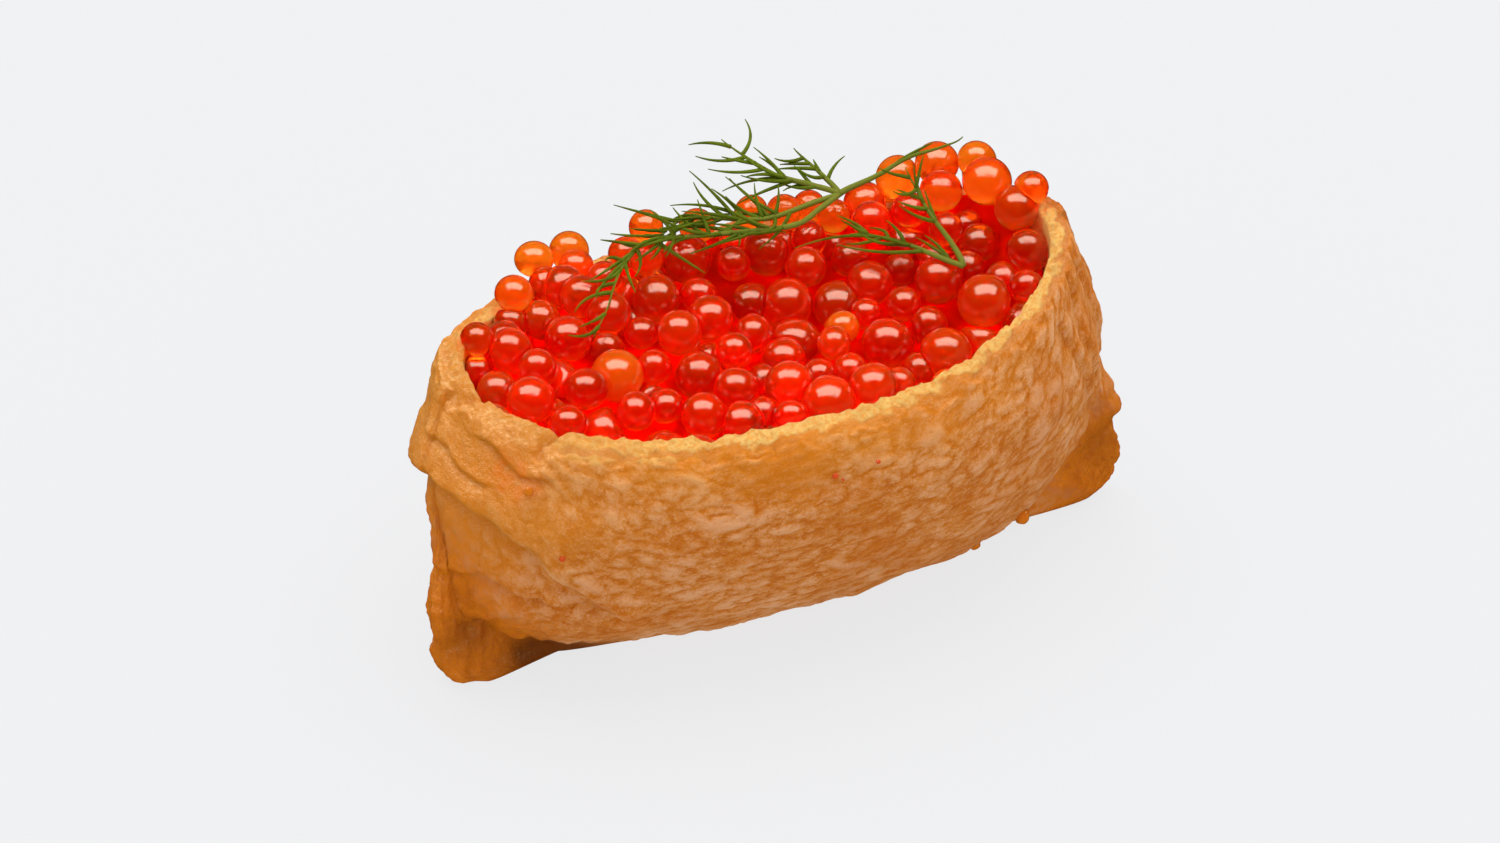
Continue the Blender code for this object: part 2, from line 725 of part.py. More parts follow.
def tube(name, route, start_radius, end_radius, sides):
    """A closed tapering tube along a route."""
    bm = bmesh.new()
    rings = []
    last = len(route) - 1
    for i, centre in enumerate(route):
        along = (route[min(i + 1, last)] - route[max(i - 1, 0)]).normalized()
        side = along.cross(Vector((0.13, 0.29, 0.95))).normalized()
        up = side.cross(along)
        share = i / last
        radius = start_radius + (end_radius - start_radius) * share**1.5
        ring = []
        for k in range(sides):
            turn = 2 * math.pi * k / sides
            ring.append(centre + (side * math.cos(turn) + up * math.sin(turn)) * radius)
        rings.append(add_ring(bm, ring))
    for low, high in zip(rings, rings[1:]):
        join_rings(bm, low, high)
    bm.faces.new(rings[0][::-1])
    bm.faces.new(rings[-1])
    return finish_mesh(bm, name, DILL_COLOUR)


def stand_on_heap(points):
    """Points given as x, y and height above the heap, as positions."""
    back = RISE_FROM + RISE_RUN
    return [Vector((x, y, roe_top(x, min(y, back)) + above)) for x, y, above in points]


def point_at(route, share):
    """The place at a share of a route's length."""
    lengths = [(b - a).length for a, b in zip(route, route[1:])]
    left = share * sum(lengths)
    for a, b, length in zip(route, route[1:], lengths):
        if left <= length:
            return a.lerp(b, left / length)
        left -= length
    return route[-1].copy()


def needle_route(start, heading, length, rise, bow):
    turn = math.radians(heading)
    along = Vector((math.cos(turn), math.sin(turn), 0.0))
    aside = Vector((-along.y, along.x, 0.0))
    steps = max(round(length / SAMPLE / 1.3), 2)
    route = []
    for k in range(steps + 1):
        t = k / steps
        point = start + along * (length * t) + aside * (4 * bow * t * (1 - t))
        point.z = start.z + rise * t**1.3
        route.append(point)
    return route


def build_sprig(name, heap, knot, stalks, needles):
    """One sprig of dill: a knot where its stalks meet, the stalks, and needles along them."""
    routes = {}
    knot_z = max(roe_top(knot[0], knot[1]) + knot[2], clear_of_roe(heap, knot[0], knot[1], KNOT_RADIUS))
    pieces = []
    for label, points in stalks.items():
        route = drape(heap, smooth_route(stand_on_heap(points)), STALK_RADIUS, knot_z)
        routes[label] = route
        pieces.append(tube(f"{name}_{label}", route, STALK_RADIUS, TIP_RADIUS, STALK_SIDES))
    for number, (label, share, heading, length, rise, bow) in enumerate(needles):
        start = point_at(routes[label], share)
        route = needle_route(start, heading, length, rise, bow)
        route = drape(heap, route, NEEDLE_RADIUS, start.z)
        pieces.append(tube(f"{name}_{number}", route, NEEDLE_RADIUS, TIP_RADIUS, NEEDLE_SIDES))
    bm = bmesh.new()
    bmesh.ops.create_icosphere(bm, subdivisions=2, radius=KNOT_RADIUS * MM)
    bmesh.ops.translate(bm, verts=bm.verts, vec=Vector((knot[0], knot[1], knot_z)) * MM)
    sprig = finish_mesh(bm, name, DILL_COLOUR)
    union_into(sprig, pieces)
    tidy_union(sprig)
    return sprig


def main():
    for old in list(bpy.data.objects):
        bpy.data.objects.remove(old)
    heap = pack_eggs()
    build_pouch()
    build_roe(heap)
    build_sprig("dill_sprig_large", heap, LARGE_KNOT, LARGE_STALKS, LARGE_NEEDLES)
    build_sprig("dill_sprig_small", heap, SMALL_KNOT, SMALL_STALKS, SMALL_NEEDLES)


main()
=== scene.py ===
"""Looks of an inari sushi: a fried tofu pouch heaped with trout roe and topped with dill.

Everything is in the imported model's frame: +X runs along the pouch towards its raised end, -Y is
the side that faces the camera and +Z is up. Shapes are worked out in millimetres.
"""

import math
import random

import bmesh
import bpy
import numpy as np
from bpy.props import FloatProperty, FloatVectorProperty, PointerProperty
from mathutils import Matrix, Vector, noise


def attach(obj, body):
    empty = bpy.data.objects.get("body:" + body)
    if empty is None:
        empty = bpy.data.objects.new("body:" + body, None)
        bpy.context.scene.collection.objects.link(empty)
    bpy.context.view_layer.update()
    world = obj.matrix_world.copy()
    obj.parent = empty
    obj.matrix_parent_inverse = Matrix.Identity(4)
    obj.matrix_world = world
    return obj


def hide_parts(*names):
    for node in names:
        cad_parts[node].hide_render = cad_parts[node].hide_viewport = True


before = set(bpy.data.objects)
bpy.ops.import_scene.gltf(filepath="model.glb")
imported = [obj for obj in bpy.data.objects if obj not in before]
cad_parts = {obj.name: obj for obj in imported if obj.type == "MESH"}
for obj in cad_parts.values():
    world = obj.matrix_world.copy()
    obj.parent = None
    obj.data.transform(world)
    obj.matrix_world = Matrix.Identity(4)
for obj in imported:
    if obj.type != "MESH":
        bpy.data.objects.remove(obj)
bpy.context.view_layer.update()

bl_info = {
    "name": "Inari Sushi Looks",
    "version": (1, 0, 0),
    "blender": (4, 5, 0),
    "location": "3D View > Sidebar > Inari",
    "description": "Builds a tofu pouch, trout roe and dill around the packed solids",
    "category": "Object",
}

MM = 0.001

# ---------------------------------------------------------------- measures shared with the solids
# Profiles of the pouch, one value a level. KEEL_HALF_WIDTH is chosen, and the others are a
# computed fit to the outline in the picture, rounded and then partly adjusted.
LEVELS = (0.0, 0.06, 0.15, 0.30, 0.50, 0.72, 0.88, 1.0)
BELLY_LEFT = (22.5, 24.0, 27.5, 31.5, 32.0, 33.2, 31.8, 30.9)
BELLY_RIGHT = (25.5, 27.3, 28.8, 30.6, 33.0, 33.2, 31.2, 30.2)
BELLY_HALF_WIDTH = (6.5, 9.1, 11.3, 15.0, 17.2, 18.2, 17.7, 16.6)
KEEL_LEFT = (30.4, 33.6, 34.2, 34.0, 33.0, 33.4, 31.9, 31.2)
KEEL_RIGHT = (35.4, 36.7, 37.0, 36.0, 34.3, 33.5, 31.4, 30.3)
KEEL_HALF_WIDTH = (2.7, 3.2, 3.4, 3.3, 3.2, 3.2, 3.0, 2.6)
LEAN_LEFT = (-5.9, -5.6, -5.1, -4.3, -3.2, -2.0, -1.1, -0.5)
LEAN_RIGHT = (-0.9, -1.1, -1.4, -1.9, -1.6, -1.3, -1.1, -0.9)
LEAN_POWER = 2.5
BELLY_BLUNTNESS = 2.15
KEEL_BLUNTNESS = 3.1
KEEL_PAST_BELLY = 0.3
SEAM_BLEND = 2.2
FAR_SIDE_EXTRA = 1.3
RIM_MIDDLE = 28.2
RIM_LEFT = 31.4
RIM_RIGHT = 36.0
RIM_REACH = 30.5
RIM_DOME = 0.3
RIM_WAVES = 0.35
WALL_SIDE = 2.4
WALL_LEFT = 2.7
WALL_RIGHT = 1.9
OPENING_HALF_WIDTH = BELLY_HALF_WIDTH[-1] - WALL_SIDE
BED_DEPTH = 9.5
BED_ROUND = 1.6
GAP = 0.35

EGG_RADIUS = (1.72, 2.34, 2.12)
EGG_SEED = 11
EGG_TRIES = 260
EGG_SETTLE_STEPS = 40
EGG_LAYERS_DEPTH = 6.2
EGG_HIGHEST = 0.1
EGG_MISSES = 60
EGG_CELL = 5.0
EGG_STEP = 0.8
EGG_STEP_SHRINK = 0.95
EGG_WALL_GAP = 0.8
EGG_TINTS = (0.0, 0.05, 0.1, 0.15, 0.35)
NEAR_DIP = 0.15
BACK_RISE = 4.5
RISE_FROM = -12.0
RISE_RUN = 29.0
HUMPS = ((-15.5, 12.0, 6.0, 1.0), (23.0, 8.5, 8.0, 1.6))
# Eggs that the camera sees, read one by one: across, down and radius in pixels, and how orange.
SEEN_EGGS = (
    (937, 163, 21, 0.5), (977, 160, 19, 1), (897, 177, 21, 0.9), (987, 181, 23, 0.5),
    (1031, 189, 17, 0.5), (809, 207, 13, 0.3), (865, 203, 20, 0.05), (910, 210, 18, 0),
    (941, 191, 21, 0.3), (1017, 208, 23, 0.35), (646, 227, 16, 0.5), (697, 226, 17, 0.6),
    (751, 212, 11, 0.5), (784, 211, 17, 0.5), (834, 216, 13, 0.6), (871, 221, 20, 0.15),
    (946, 229, 15, 0), (967, 226, 13, 0), (809, 239, 18, 0), (979, 243, 19, 0.1),
    (534, 259, 18, 1), (569, 251, 19, 1), (576, 267, 18, 0.5), (626, 253, 17, 0.3),
    (646, 259, 17, 0.4), (686, 259, 25, 0.15), (733, 264, 17, 0), (766, 253, 23, 0.1),
    (806, 267, 21, 0.1), (851, 259, 19, 0), (967, 267, 17, 0), (1028, 251, 22, 0.05),
    (546, 284, 16, 0.2), (563, 287, 21, 0.15), (604, 279, 17, 0.2), (870, 283, 22, 0.1),
    (900, 270, 18, 0), (939, 280, 23, 0.05), (1003, 280, 19, 0.15), (1026, 286, 12, 0),
    (514, 294, 19, 0.6), (582, 297, 21, 0.15), (656, 299, 23, 0.15), (699, 296, 18, 0),
    (751, 304, 21, 0), (787, 305, 27, 0.1), (837, 305, 23, 0.15), (904, 304, 17, 0),
    (984, 301, 26, 0.3), (511, 324, 14, 0.2), (541, 320, 19, 0.3), (608, 313, 22, 0.1),
    (710, 319, 22, 0.1), (866, 314, 11, 0), (929, 326, 19, 0), (477, 339, 13, 0.2),
    (504, 341, 20, 0.1), (568, 339, 22, 0), (642, 333, 15, 0), (679, 333, 22, 0.2),
    (753, 334, 19, 0), (794, 343, 25, 0.1), (834, 343, 15, 0.3), (888, 344, 25, 0),
    (511, 351, 22, 0.1), (537, 369, 20, 0.05), (606, 351, 19, 0), (654, 367, 16, 0),
    (734, 351, 18, 0.05), (783, 359, 21, 0.1), (850, 370, 16, 0.15), (919, 370, 17, 0.15),
    (946, 353, 25, 0.35), (586, 389, 21, 0), (617, 376, 25, 0.8), (699, 376, 23, 0.05),
    (736, 389, 21, 0.05), (764, 381, 14, 0), (789, 385, 23, 0.2), (819, 376, 14, 0),
    (873, 386, 23, 0.3), (900, 384, 14, 0.3), (497, 391, 19, 0.25), (531, 400, 23, 0.15),
    (666, 406, 17, 0), (829, 403, 26, 0.25), (568, 424, 18, 0), (636, 411, 19, 0),
    (704, 416, 22, 0.1), (763, 413, 14, 0), (791, 417, 11, 0), (948, 386, 14, 1),
    (842, 328, 12, 1),
)
# Eggs that stand proud of the heap: across and down in pixels, and how far in mm.
RAISED_EGGS = {(617, 376): 1.6, (946, 353): 1.4, (871, 221): 0.4, (787, 305): 0.5}
SEEN_RADIUS = (1.62, 2.5)
SUNK_BELOW = 18.5
SUNK_SHARE = 0.13
SEEN_INSET = 1.1
SEEN_OUTSIDE = 1.8
SEEN_SETTLED = 0.35
SEEN_CLOSENESS = 0.92
SEEN_PASSES = 30
SEEN_BACK = 1.8
SEEN_FORTH = 0.8
SEEN_BACK_SHARE = 0.25
SEEN_FORTH_SHARE = 0.15
# The search along a line of sight: how far before the camera's aim it starts, its step and count.
SIGHT_BEFORE = 45.0
SIGHT_STEP = 0.1
SIGHT_STEPS = 900
HEAP_MIDDLE = 28.0
HEAP_REACH = 16.0
RIM_REST_FROM = 1.0

# ---------------------------------------------------------------- pouch
AROUND = 560
UP = 132
UP_POWER = 1.2
RIM_RINGS = 24
INSIDE_RINGS = 8
ROUNDED_SHARE = 0.05
ROUNDED_DEPTH = 0.3
SHOULDER_DROP = 0.25
INNER_LIFT = 0.35
FOOT_SHARE = 0.05
FOOT_ROUNDING = 0.016
NORMAL_REACH = 6
SKIN_WAVES = 0.35
SKIN_WAVE_LENGTH = 6.5
CRUMB_LENGTH = 2.6
GRAIN_RADIUS = 30.0
GRAIN_STRETCH = 1.75
GRAIN_END_STRETCH = 0.9
GRAIN_RIM_STEP = 0.3
WAVED_TOP = 0.10
TORN_FROM = 0.955
TORN_RUN = 0.03
NOTCH_OUTSIDE = 0.8
NOTCH_INSIDE = 0.7
FOLD_TURN = 3
# Folds of the skin: points as (degrees round from the raised end, height in mm), how far the
# skin swells above the line, how deep it is tucked in below, the swell's width and its edge.
FOLDS = (
    (((170, 21.6), (188, 23.2), (197, 23.2), (208, 21.9), (217, 19.4), (223, 15.9), (236, 10.6)),
     1.0, 0.9, 4.0, 0.9),
    (((194, 13.2), (203, 15.0), (214, 13.6), (224, 12.8)), 0.5, 0.6, 2.4, 0.6),
    (((188, 26.6), (192, 27.0), (197, 26.0), (204, 25.6)), 0.25, 0.45, 1.5, 0.3),
    (((203, 29.4), (206, 29.0), (210, 27.6), (213, 26.8), (217, 26.9)), 0.35, 0.4, 1.6, 0.22),
    (((192, 20.6), (193, 15.6), (187, 12.2), (188, 7.0)), 0.4, 0.12, 1.8, 0.9),
    (((201, 12.6), (201.5, 9.0), (202, 4.0)), 0.3, 0.25, 2.2, 0.9),
    (((211, 9.7), (207, 7.0), (204, 2.0)), 0.3, 0.5, 2.0, 0.5),
    (((326, 29.5), (330, 22.0), (334, 14.0)), 0.35, 0.35, 2.0, 0.5),
    (((335, 33.0), (334, 30.0), (332, 26.8), (336, 20.0)), 0.3, 0.4, 1.6, 0.35),
    (((342, 32.0), (343, 24.0), (345, 13.0)), 0.35, 0.4, 1.8, 0.4),
    (((144, 25.0), (134, 21.0), (122, 12.0)), 0.6, 0.5, 3.5, 0.9),
    (((44, 27.0), (52, 22.5), (64, 12.0)), 0.6, 0.5, 3.5, 0.9),
)
# Notches in the torn rim: degrees round, half width in degrees, depth in mm.
RIM_NOTCHES = (
    (189.5, 3.2, 1.7),
    (216.5, 1.6, 1.3),
    (249.5, 1.2, 0.9),
    (261.5, 1.0, 0.5),
    (236.0, 1.2, 0.4),
    (282.0, 1.2, 0.4),
    (294.5, 1.3, 0.5),
    (305.0, 1.2, 0.45),
    (150.0, 2.0, 0.8),
    (96.0, 1.8, 0.9),
    (62.0, 1.6, 0.7),
)

# Beads on the wall: degrees round, height and radius in mm, and how thick for its width.
RED_SPECKS = (
    (224.0, 19.7, 0.30, 0.5),
    (271.5, 24.3, 0.30, 0.5),
    (279.0, 24.6, 0.22, 0.5),
    (272.6, 23.7, 0.16, 0.5),
    (118.0, 22.0, 0.25, 0.5),
)
SYRUP_DROPS = (
    (315.6, 1.7, 0.78, 0.9),
    (304.5, 0.8, 0.48, 0.8),
    (215.5, 25.7, 0.45, 0.5),
)
BEAD_SUBDIVISIONS = 3
# Places where the skin is soaked or stained, and where shade is painted on it: how much, degrees
# round, height and reach.
SOAKED_SPOTS = (
    (1.0, 197, 5.0, 8.0), (0.7, 180, 9.0, 7.0), (0.8, 213, 2.5, 5.0), (0.45, 194, 17.0, 5.0),
    (0.9, 350, 6.0, 8.0), (0.7, 5, 6.0, 9.0), (0.35, 205, 26.0, 6.0), (0.3, 187, 27.0, 6.0),
)
STAINED_SPOTS = ((0.8, 211, 27.0, 2.0), (0.6, 214, 26.3, 1.4))
# Painted shade, where the pouch hangs over its ears and the table and in a fold on the left.
SHADED_SPOTS = (
    (0.95, 219, 1.0, 3.4), (0.8, 230, 0.4, 3.5), (0.5, 203, 5.5, 2.6), (0.35, 340, 8.0, 3.0),
)

# ---------------------------------------------------------------- roe
CORE_AROUND = 240
CORE_RINGS = 60
JUICE_REACH = 2.0
JUICE_RISE = -1.1
JUICE_BELOW_TOP = 3.6
JUICE_EGGS_WITHIN = 1.6
JUICE_BED_DROP = 2.2
JUICE_BED_WEIGHT = 0.03
EGG_SWELL = 1.08
EGG_SEEN_SWELL = 1.02
EGG_CLOSENESS = 0.88
EGG_OVAL = 0.06
EGG_CONTACT_GAP = 0.02
EGG_PRESS_REACH = 0.4
EGG_LEAST_MIDDLE = 0.1
EGG_SOFTNESS = 0.18
OPENING_GAP = 0.12
OPENING_EASE = 1.5
OPENING_ABOVE = 0.4
EGG_SUBDIVISIONS = 4
# What an egg's flesh lets through of red, green and blue light.
FLESH_FILTER = (0.99, 0.13, 0.015)

# ---------------------------------------------------------------- dill
STALK_RADIUS = 0.31
NEEDLE_RADIUS = 0.22
TIP_RADIUS = 0.05
DILL_SIDES = 8
DILL_ASIDE = -1.1
DILL_SAMPLE = 0.45
DRAPE_PASSES = 260
DILL_ABOVE_EGG = 0.25
DILL_SINK = 2.3
DILL_RIM_REACH = 2.9
DILL_TAPER = 1.6
DILL_WOBBLE = 0.10
DILL_WOBBLE_LENGTH = 1.1
DILL_GROOVE = 0.12
DILL_FLATNESS = 0.85
STALK_GREENS = 0.7
NEEDLE_PALENESS = 0.15
NEEDLE_LIFT = 1.3
# Stalks are points as (x, y, height above the heap) and needles are (stalk, share of its length,
# heading in degrees, length, rise, bow). They were worked out from points read one by one, and some
# were changed afterwards.
LARGE_KNOT = (12.3, 11.4, 1.6)
SMALL_KNOT = (19.8, -1.0, 0.6)
KNOT_RADIUS = 0.7
LARGE_STALKS = {
    "lower": (
        (12.3, 11.4, 1.6), (9.8, 10.2, 1.2), (7.0, 9.0, 0.8), (2.9, 9.9, 0.8), (-3.5, 11.6, 0.8),
        (-6.9, 12.2, 0.8), (-10.4, 9.3, 0.6), (-13.2, 5.1, 0.6), (-15.6, 2.4, 0.5),
    ),
    "upper": (
        (12.3, 11.4, 1.6), (9.5, 11.2, 1.2), (5.0, 10.8, 1.0), (2.0, 12.1, 1.4), (-0.6, 13.8, 1.6),
        (-3.0, 14.3, 1.2), (-5.2, 12.8, 0.7), (-5.5, 10.8, 0.5),
    ),
    "right": (
        (12.3, 11.4, 1.6), (15.9, 10.7, 2.2), (18.8, 10.5, 2.2), (22.1, 8.8, 2.4),
        (23.4, 8.2, 3.6),
    ),
    "rising": ((12.3, 11.4, 1.6), (10.3, 12.5, 2.2), (6.7, 14.3, 3.6), (3.2, 19.0, 5.2)),
    "back": ((12.3, 11.4, 1.6), (11.6, 13.2, 2.2), (9.8, 17.0, 3.6)),
}
SMALL_STALKS = {
    "upright": ((19.8, -1.0, 0.6), (19.5, 0.8, 1.3), (18.4, 3.8, 2.4), (17.9, 5.9, 3.6),
                (17.5, 8.0, 4.6)),
    "flat": (
        (19.8, -1.0, 0.6), (18.1, 0.3, 0.6), (16.1, 3.3, 0.7), (13.3, 6.2, 0.8), (11.6, 7.0, 1.0),
    ),
}
LARGE_NEEDLES = (
    ("lower", 0.62, 159, 3.8, 0.6, 0.0),
    ("lower", 0.65, -153, 6.3, -0.2, 0.1),
    ("lower", 0.70, -139, 5.9, -0.2, -0.3),
    ("lower", 0.71, -97, 4.4, -0.2, -0.1),
    ("lower", 0.55, -149, 4.2, -0.3, 0.2),
    ("lower", 0.42, 89, 3.4, 1.8, 0.0),
    ("lower", 0.43, 110, 4.8, 0.6, 0.3),
    ("lower", 0.30, 145, 4.2, 0.1, -0.2),
    ("lower", 0.34, -108, 1.8, -0.3, 0.1),
    ("upper", 0.66, 165, 3.3, -0.4, -0.8),
    ("upper", 0.45, 150, 7.4, 0.8, -1.0),
    ("upper", 0.50, 122, 5.6, 3.2, -0.2),
    ("upper", 0.35, 123, 5.2, 2.6, -0.2),
    ("upper", 0.38, 88, 2.6, 2.4, 0.2),
    ("upper", 0.30, 128, 5.6, 2.2, 0.5),
    ("upper", 0.33, 60, 2.4, 2.0, -0.2),
    ("upper", 0.48, -158, 3.5, -0.4, 0.2),
    ("upper", 0.46, -42, 4.1, -0.4, -0.4),
    ("rising", 0.44, 115, 3.9, 1.6, -0.2),
    ("rising", 0.36, 158, 5.0, 0.5, 0.5),
    ("rising", 0.40, 140, 4.6, 1.6, 0.4),
    ("rising", 0.40, 172, 6.4, -0.4, -0.8),
    ("rising", 0.22, 117, 2.2, 1.2, 0.0),
    ("rising", 0.18, 155, 3.4, 0.2, 0.5),
    ("back", 0.28, 30, 2.6, 1.4, 0.3),
    ("back", 0.45, 100, 1.2, 0.8, 0.0),
    ("right", 0.45, -10, 3.6, 2.0, 0.2),
)
SMALL_NEEDLES = (
    ("upright", 0.45, 91, 2.8, 1.8, 0.0),
    ("upright", 0.65, 85, 3.2, 2.2, 0.2),
    ("upright", 0.80, 50, 2.2, 2.2, 0.0),
    ("flat", 0.10, 118, 4.4, 0.8, -0.2),
    ("flat", 0.12, 108, 3.6, 1.0, -0.3),
    ("flat", 0.86, 130, 2.8, 0.7, 0.0),
    ("flat", 0.54, 108, 2.7, 1.2, -0.3),
    ("flat", 0.33, 156, 12.3, 0.0, -2.3),
    ("flat", 0.36, 152, 8.2, 0.0, 0.7),
)

# Finer leaves between the named needles: stalk, from and to which share of it, how many, length.
LARGE_LEAVES = (
    ("lower", 0.20, 0.62, 15, 4.2),
    ("lower", 0.62, 0.98, 7, 2.8),
    ("upper", 0.24, 0.98, 19, 4.3),
    ("rising", 0.16, 0.94, 10, 4.0),
    ("back", 0.30, 0.90, 4, 2.6),
)
SMALL_LEAVES = (
    ("upright", 0.40, 0.94, 5, 2.6),
    ("flat", 0.30, 0.92, 6, 2.8),
)
LEAF_SEED = 5
LEAF_REACH = 17.0
LEAF_PLACES = (0.2, 0.8)
LEAF_LOOK_AHEAD = 0.04
LEAF_SPREAD = (18, 46)
LEAF_TURN_BACK = 80
LEAF_STEEPEST = 0.97
LEAF_LENGTHS = (0.7, 1.5)
LEAF_RISES = (-0.2, 0.45)
LEAF_BOWS = (-0.9, 0.9)

# ---------------------------------------------------------------- camera, in mm and degrees
# The turn, rise and distance are chosen. ASIDE, ABOVE and LENS are a computed fit to the outline.
CAMERA_TURN = -21.0
CAMERA_RISE = 38.0
CAMERA_DISTANCE = 410.0
CAMERA_ASIDE = -0.70
CAMERA_ABOVE = 13.98
CAMERA_LENS = 101.45
SENSOR = 36.0
IMAGE = (1500, 843)

# ---------------------------------------------------------------- stage, in metres
TABLE_HALF = 3.0
TABLE_DROP = 0.00002
LIGHT_AIM = (0.0, 0.0, 0.02)
SOFTBOX_TILT = -10.0
WHITE = (1.0, 1.0, 1.0)
# Lights: which power, how far behind and above the aim, size, colour, what they don't reach and
# whether they face down.
LIGHTS = {
    "overhead_softbox": ("softbox", 0.17, 1.0, (1.5, 0.8), WHITE, ("glossy",), True),
    "glint_softbox": ("glint", 0.0, 1.0, (1.7, 0.75), (1.0, 0.88, 0.68),
                      ("diffuse", "transmission"), True),
    "back_panel": ("panel", 1.3, 0.35, (2.4, 0.6), WHITE, ("diffuse", "transmission"), False),
    "backlight": ("backlight", 0.55, 0.95, (1.8, 1.0), WHITE, ("diffuse", "glossy"), False),
}


def colour(name, description, rgb):
    return FloatVectorProperty(
        name=name, description=description, subtype="COLOR", size=3, min=0.0, max=1.0, default=rgb
    )


def power(name, description, watts):
    return FloatProperty(
        name=name, description=description, default=watts, min=0.0, max=1000.0, unit="POWER"
    )


class InariPouchSettings(bpy.types.PropertyGroup):
    skin: colour("Skin", "Fried skin of the pouch", (0.62, 0.200, 0.018))
    gold: colour("Gold", "Brighter skin at the left end and below the rim", (0.76, 0.255, 0.010))
    # Fuzz and pores are partly the skin's own colours and partly painted light on its crests and
    # painted shade in its pits.
    fuzz: colour("Fuzz", "Pale fibres that stand on the skin", (0.74, 0.360, 0.165))
    pores: colour("Pores", "Orange pits between the fibres", (0.53, 0.125, 0.003))
    soaked: colour("Soaked", "Syrup-soaked skin on the ears", (0.69, 0.185, 0.006))
    # Deep is painted shade: the dark colour laid on the SHADED_SPOTS below the ears and in a fold.
    deep: colour("Deep", "Soaked skin in the folds below the ears", (0.16, 0.035, 0.002))
    crumb: colour("Crumb", "Pale torn edge of the tofu", (0.94, 0.57, 0.17))
    # Glint is a painted highlight: pale specks laid on the upward-facing bumps of moist skin, as if
    # the overhead light caught them.
    glint: colour("Glint", "Bright wet specks on moist skin", (0.98, 0.60, 0.24))
    stain: colour("Stain", "Roe juice on the rim", (0.95, 0.17, 0.005))
    speck: colour("Speck", "Scraps of roe stuck to the wall", (0.90, 0.11, 0.012))
    syrup: colour("Syrup", "Drops of syrup on the wall and at the foot", (0.95, 0.30, 0.02))
    relief: FloatProperty(
        name="Relief", description="Depth of the skin's granules", default=0.13 * MM,
        min=0.0, max=0.001, unit="LENGTH", precision=5,
    )


class InariRoeSettings(bpy.types.PropertyGroup):
    # The lower halves are painted brighter and more orange than the upper halves, as painted light
    # from light passing through each egg; egg_material also paints a darker band across the middle.
    red: colour("Red", "Lower half of a red egg", (1.0, 0.33, 0.008))
    red_top: colour("Red top", "Upper half of a red egg", (1.0, 0.105, 0.003))
    orange: colour("Orange", "Lower half of an orange egg", (1.0, 0.50, 0.022))
    orange_top: colour("Orange top", "Upper half of an orange egg", (1.0, 0.235, 0.006))
    core: colour("Juice", "Juice between the eggs", (0.55, 0.006, 0.0))
    density: FloatProperty(
        name="Density", description="How strongly an egg colours light, per metre",
        default=200.0, min=0.0, max=5000.0,
    )


class InariDillSettings(bpy.types.PropertyGroup):
    leaf: colour("Leaf", "Fresh dill", (0.060, 0.088, 0.003))
    stalk: colour("Stalk", "Paler stalks", (0.20, 0.21, 0.030))


class InariStageSettings(bpy.types.PropertyGroup):
    floor: colour("Floor", "Colour of the plain table below its glow", (0.075, 0.077, 0.081))
    glow: FloatProperty(
        name="Glow", description="Light that the pale table gives off", default=0.775,
        min=0.0, max=5.0,
    )
    fill: FloatProperty(
        name="Fill", description="Strength of the even light", default=1.0, min=0.0, max=5.0
    )
    softbox: power("Softbox", "Power of the overhead light, which gives no glints", 8.0)
    glint: power("Glint", "Power of the overhead light that only shines on gloss", 20.0)
    panel: power("Panel", "Power of the panel behind, which only shines on gloss", 0.35)
    backlight: power("Backlight", "Power of the light that only shines through clear pieces", 76.0)


# ---------------------------------------------------------------- small helpers
def between(values, share):
    """A smooth curve through one value a level, read at a share of the height."""
    last = len(LEVELS) - 1
    i = next((k for k in range(last) if share <= LEVELS[k + 1]), last - 1)
    width = LEVELS[i + 1] - LEVELS[i]

    def slope(k):
        low, high = max(k - 1, 0), min(k + 1, last)
        return (values[high] - values[low]) / (LEVELS[high] - LEVELS[low])

    t = (share - LEVELS[i]) / width
    return (
        (2 * t**3 - 3 * t**2 + 1) * values[i]
        + (t**3 - 2 * t**2 + t) * width * slope(i)
        + (3 * t**2 - 2 * t**3) * values[i + 1]
        + (t**3 - t**2) * width * slope(i + 1)
    )


def ease(t):
    """A smooth step from 0 to 1."""
    t = min(max(t, 0.0), 1.0)
    return t * t * (3 - 2 * t)


def fade(t):
    """A smooth step from 0 to 1 for arrays."""
    t = np.clip(t, 0.0, 1.0)
    return t * t * (3 - 2 * t)


def rounded_max(a, b, blend):
    h = max(blend - abs(a - b), 0.0) / blend
    return max(a, b) + h * h * blend * 0.25


def lens(x, half_length, half_width, bluntness):
    share = min(abs(x) / half_length, 1.0)
    return half_width * (1.0 - share**bluntness) ** (1.0 / bluntness)


def rim_height(x):
    end = RIM_LEFT if x < 0 else RIM_RIGHT
    return RIM_MIDDLE + (end - RIM_MIDDLE) * min(abs(x) / RIM_REACH, 1.0) ** 3


def add_object(name, data):
    made = bpy.data.objects.new(name, data)
    bpy.context.scene.collection.objects.link(made)
    return made


def toned(rgb, *factors):
    """A colour made brighter or darker, by one factor or by one for each channel."""
    factors = factors if len(factors) == 3 else factors * 3
    return tuple(min(c * k, 1.0) for c, k in zip(rgb, factors))


def noises(points, length, offset=0.0):
    """Smooth noise from -1 to 1 at each point, for lumps of the given length."""
    shift = Vector((offset, -offset, 0.7 * offset))
    return np.array([noise.noise(Vector(p) / length + shift) for p in points])


def new_piece(name, vertices, faces, material):
    """A mesh object in metres from points in mm."""
    mesh = bpy.data.meshes.new(name)
    mesh.from_pydata([tuple(float(c) * MM for c in v) for v in vertices], [], faces)
    mesh.validate()
    mesh.materials.append(material)
    mesh.shade_smooth()
    return add_object(name, mesh)


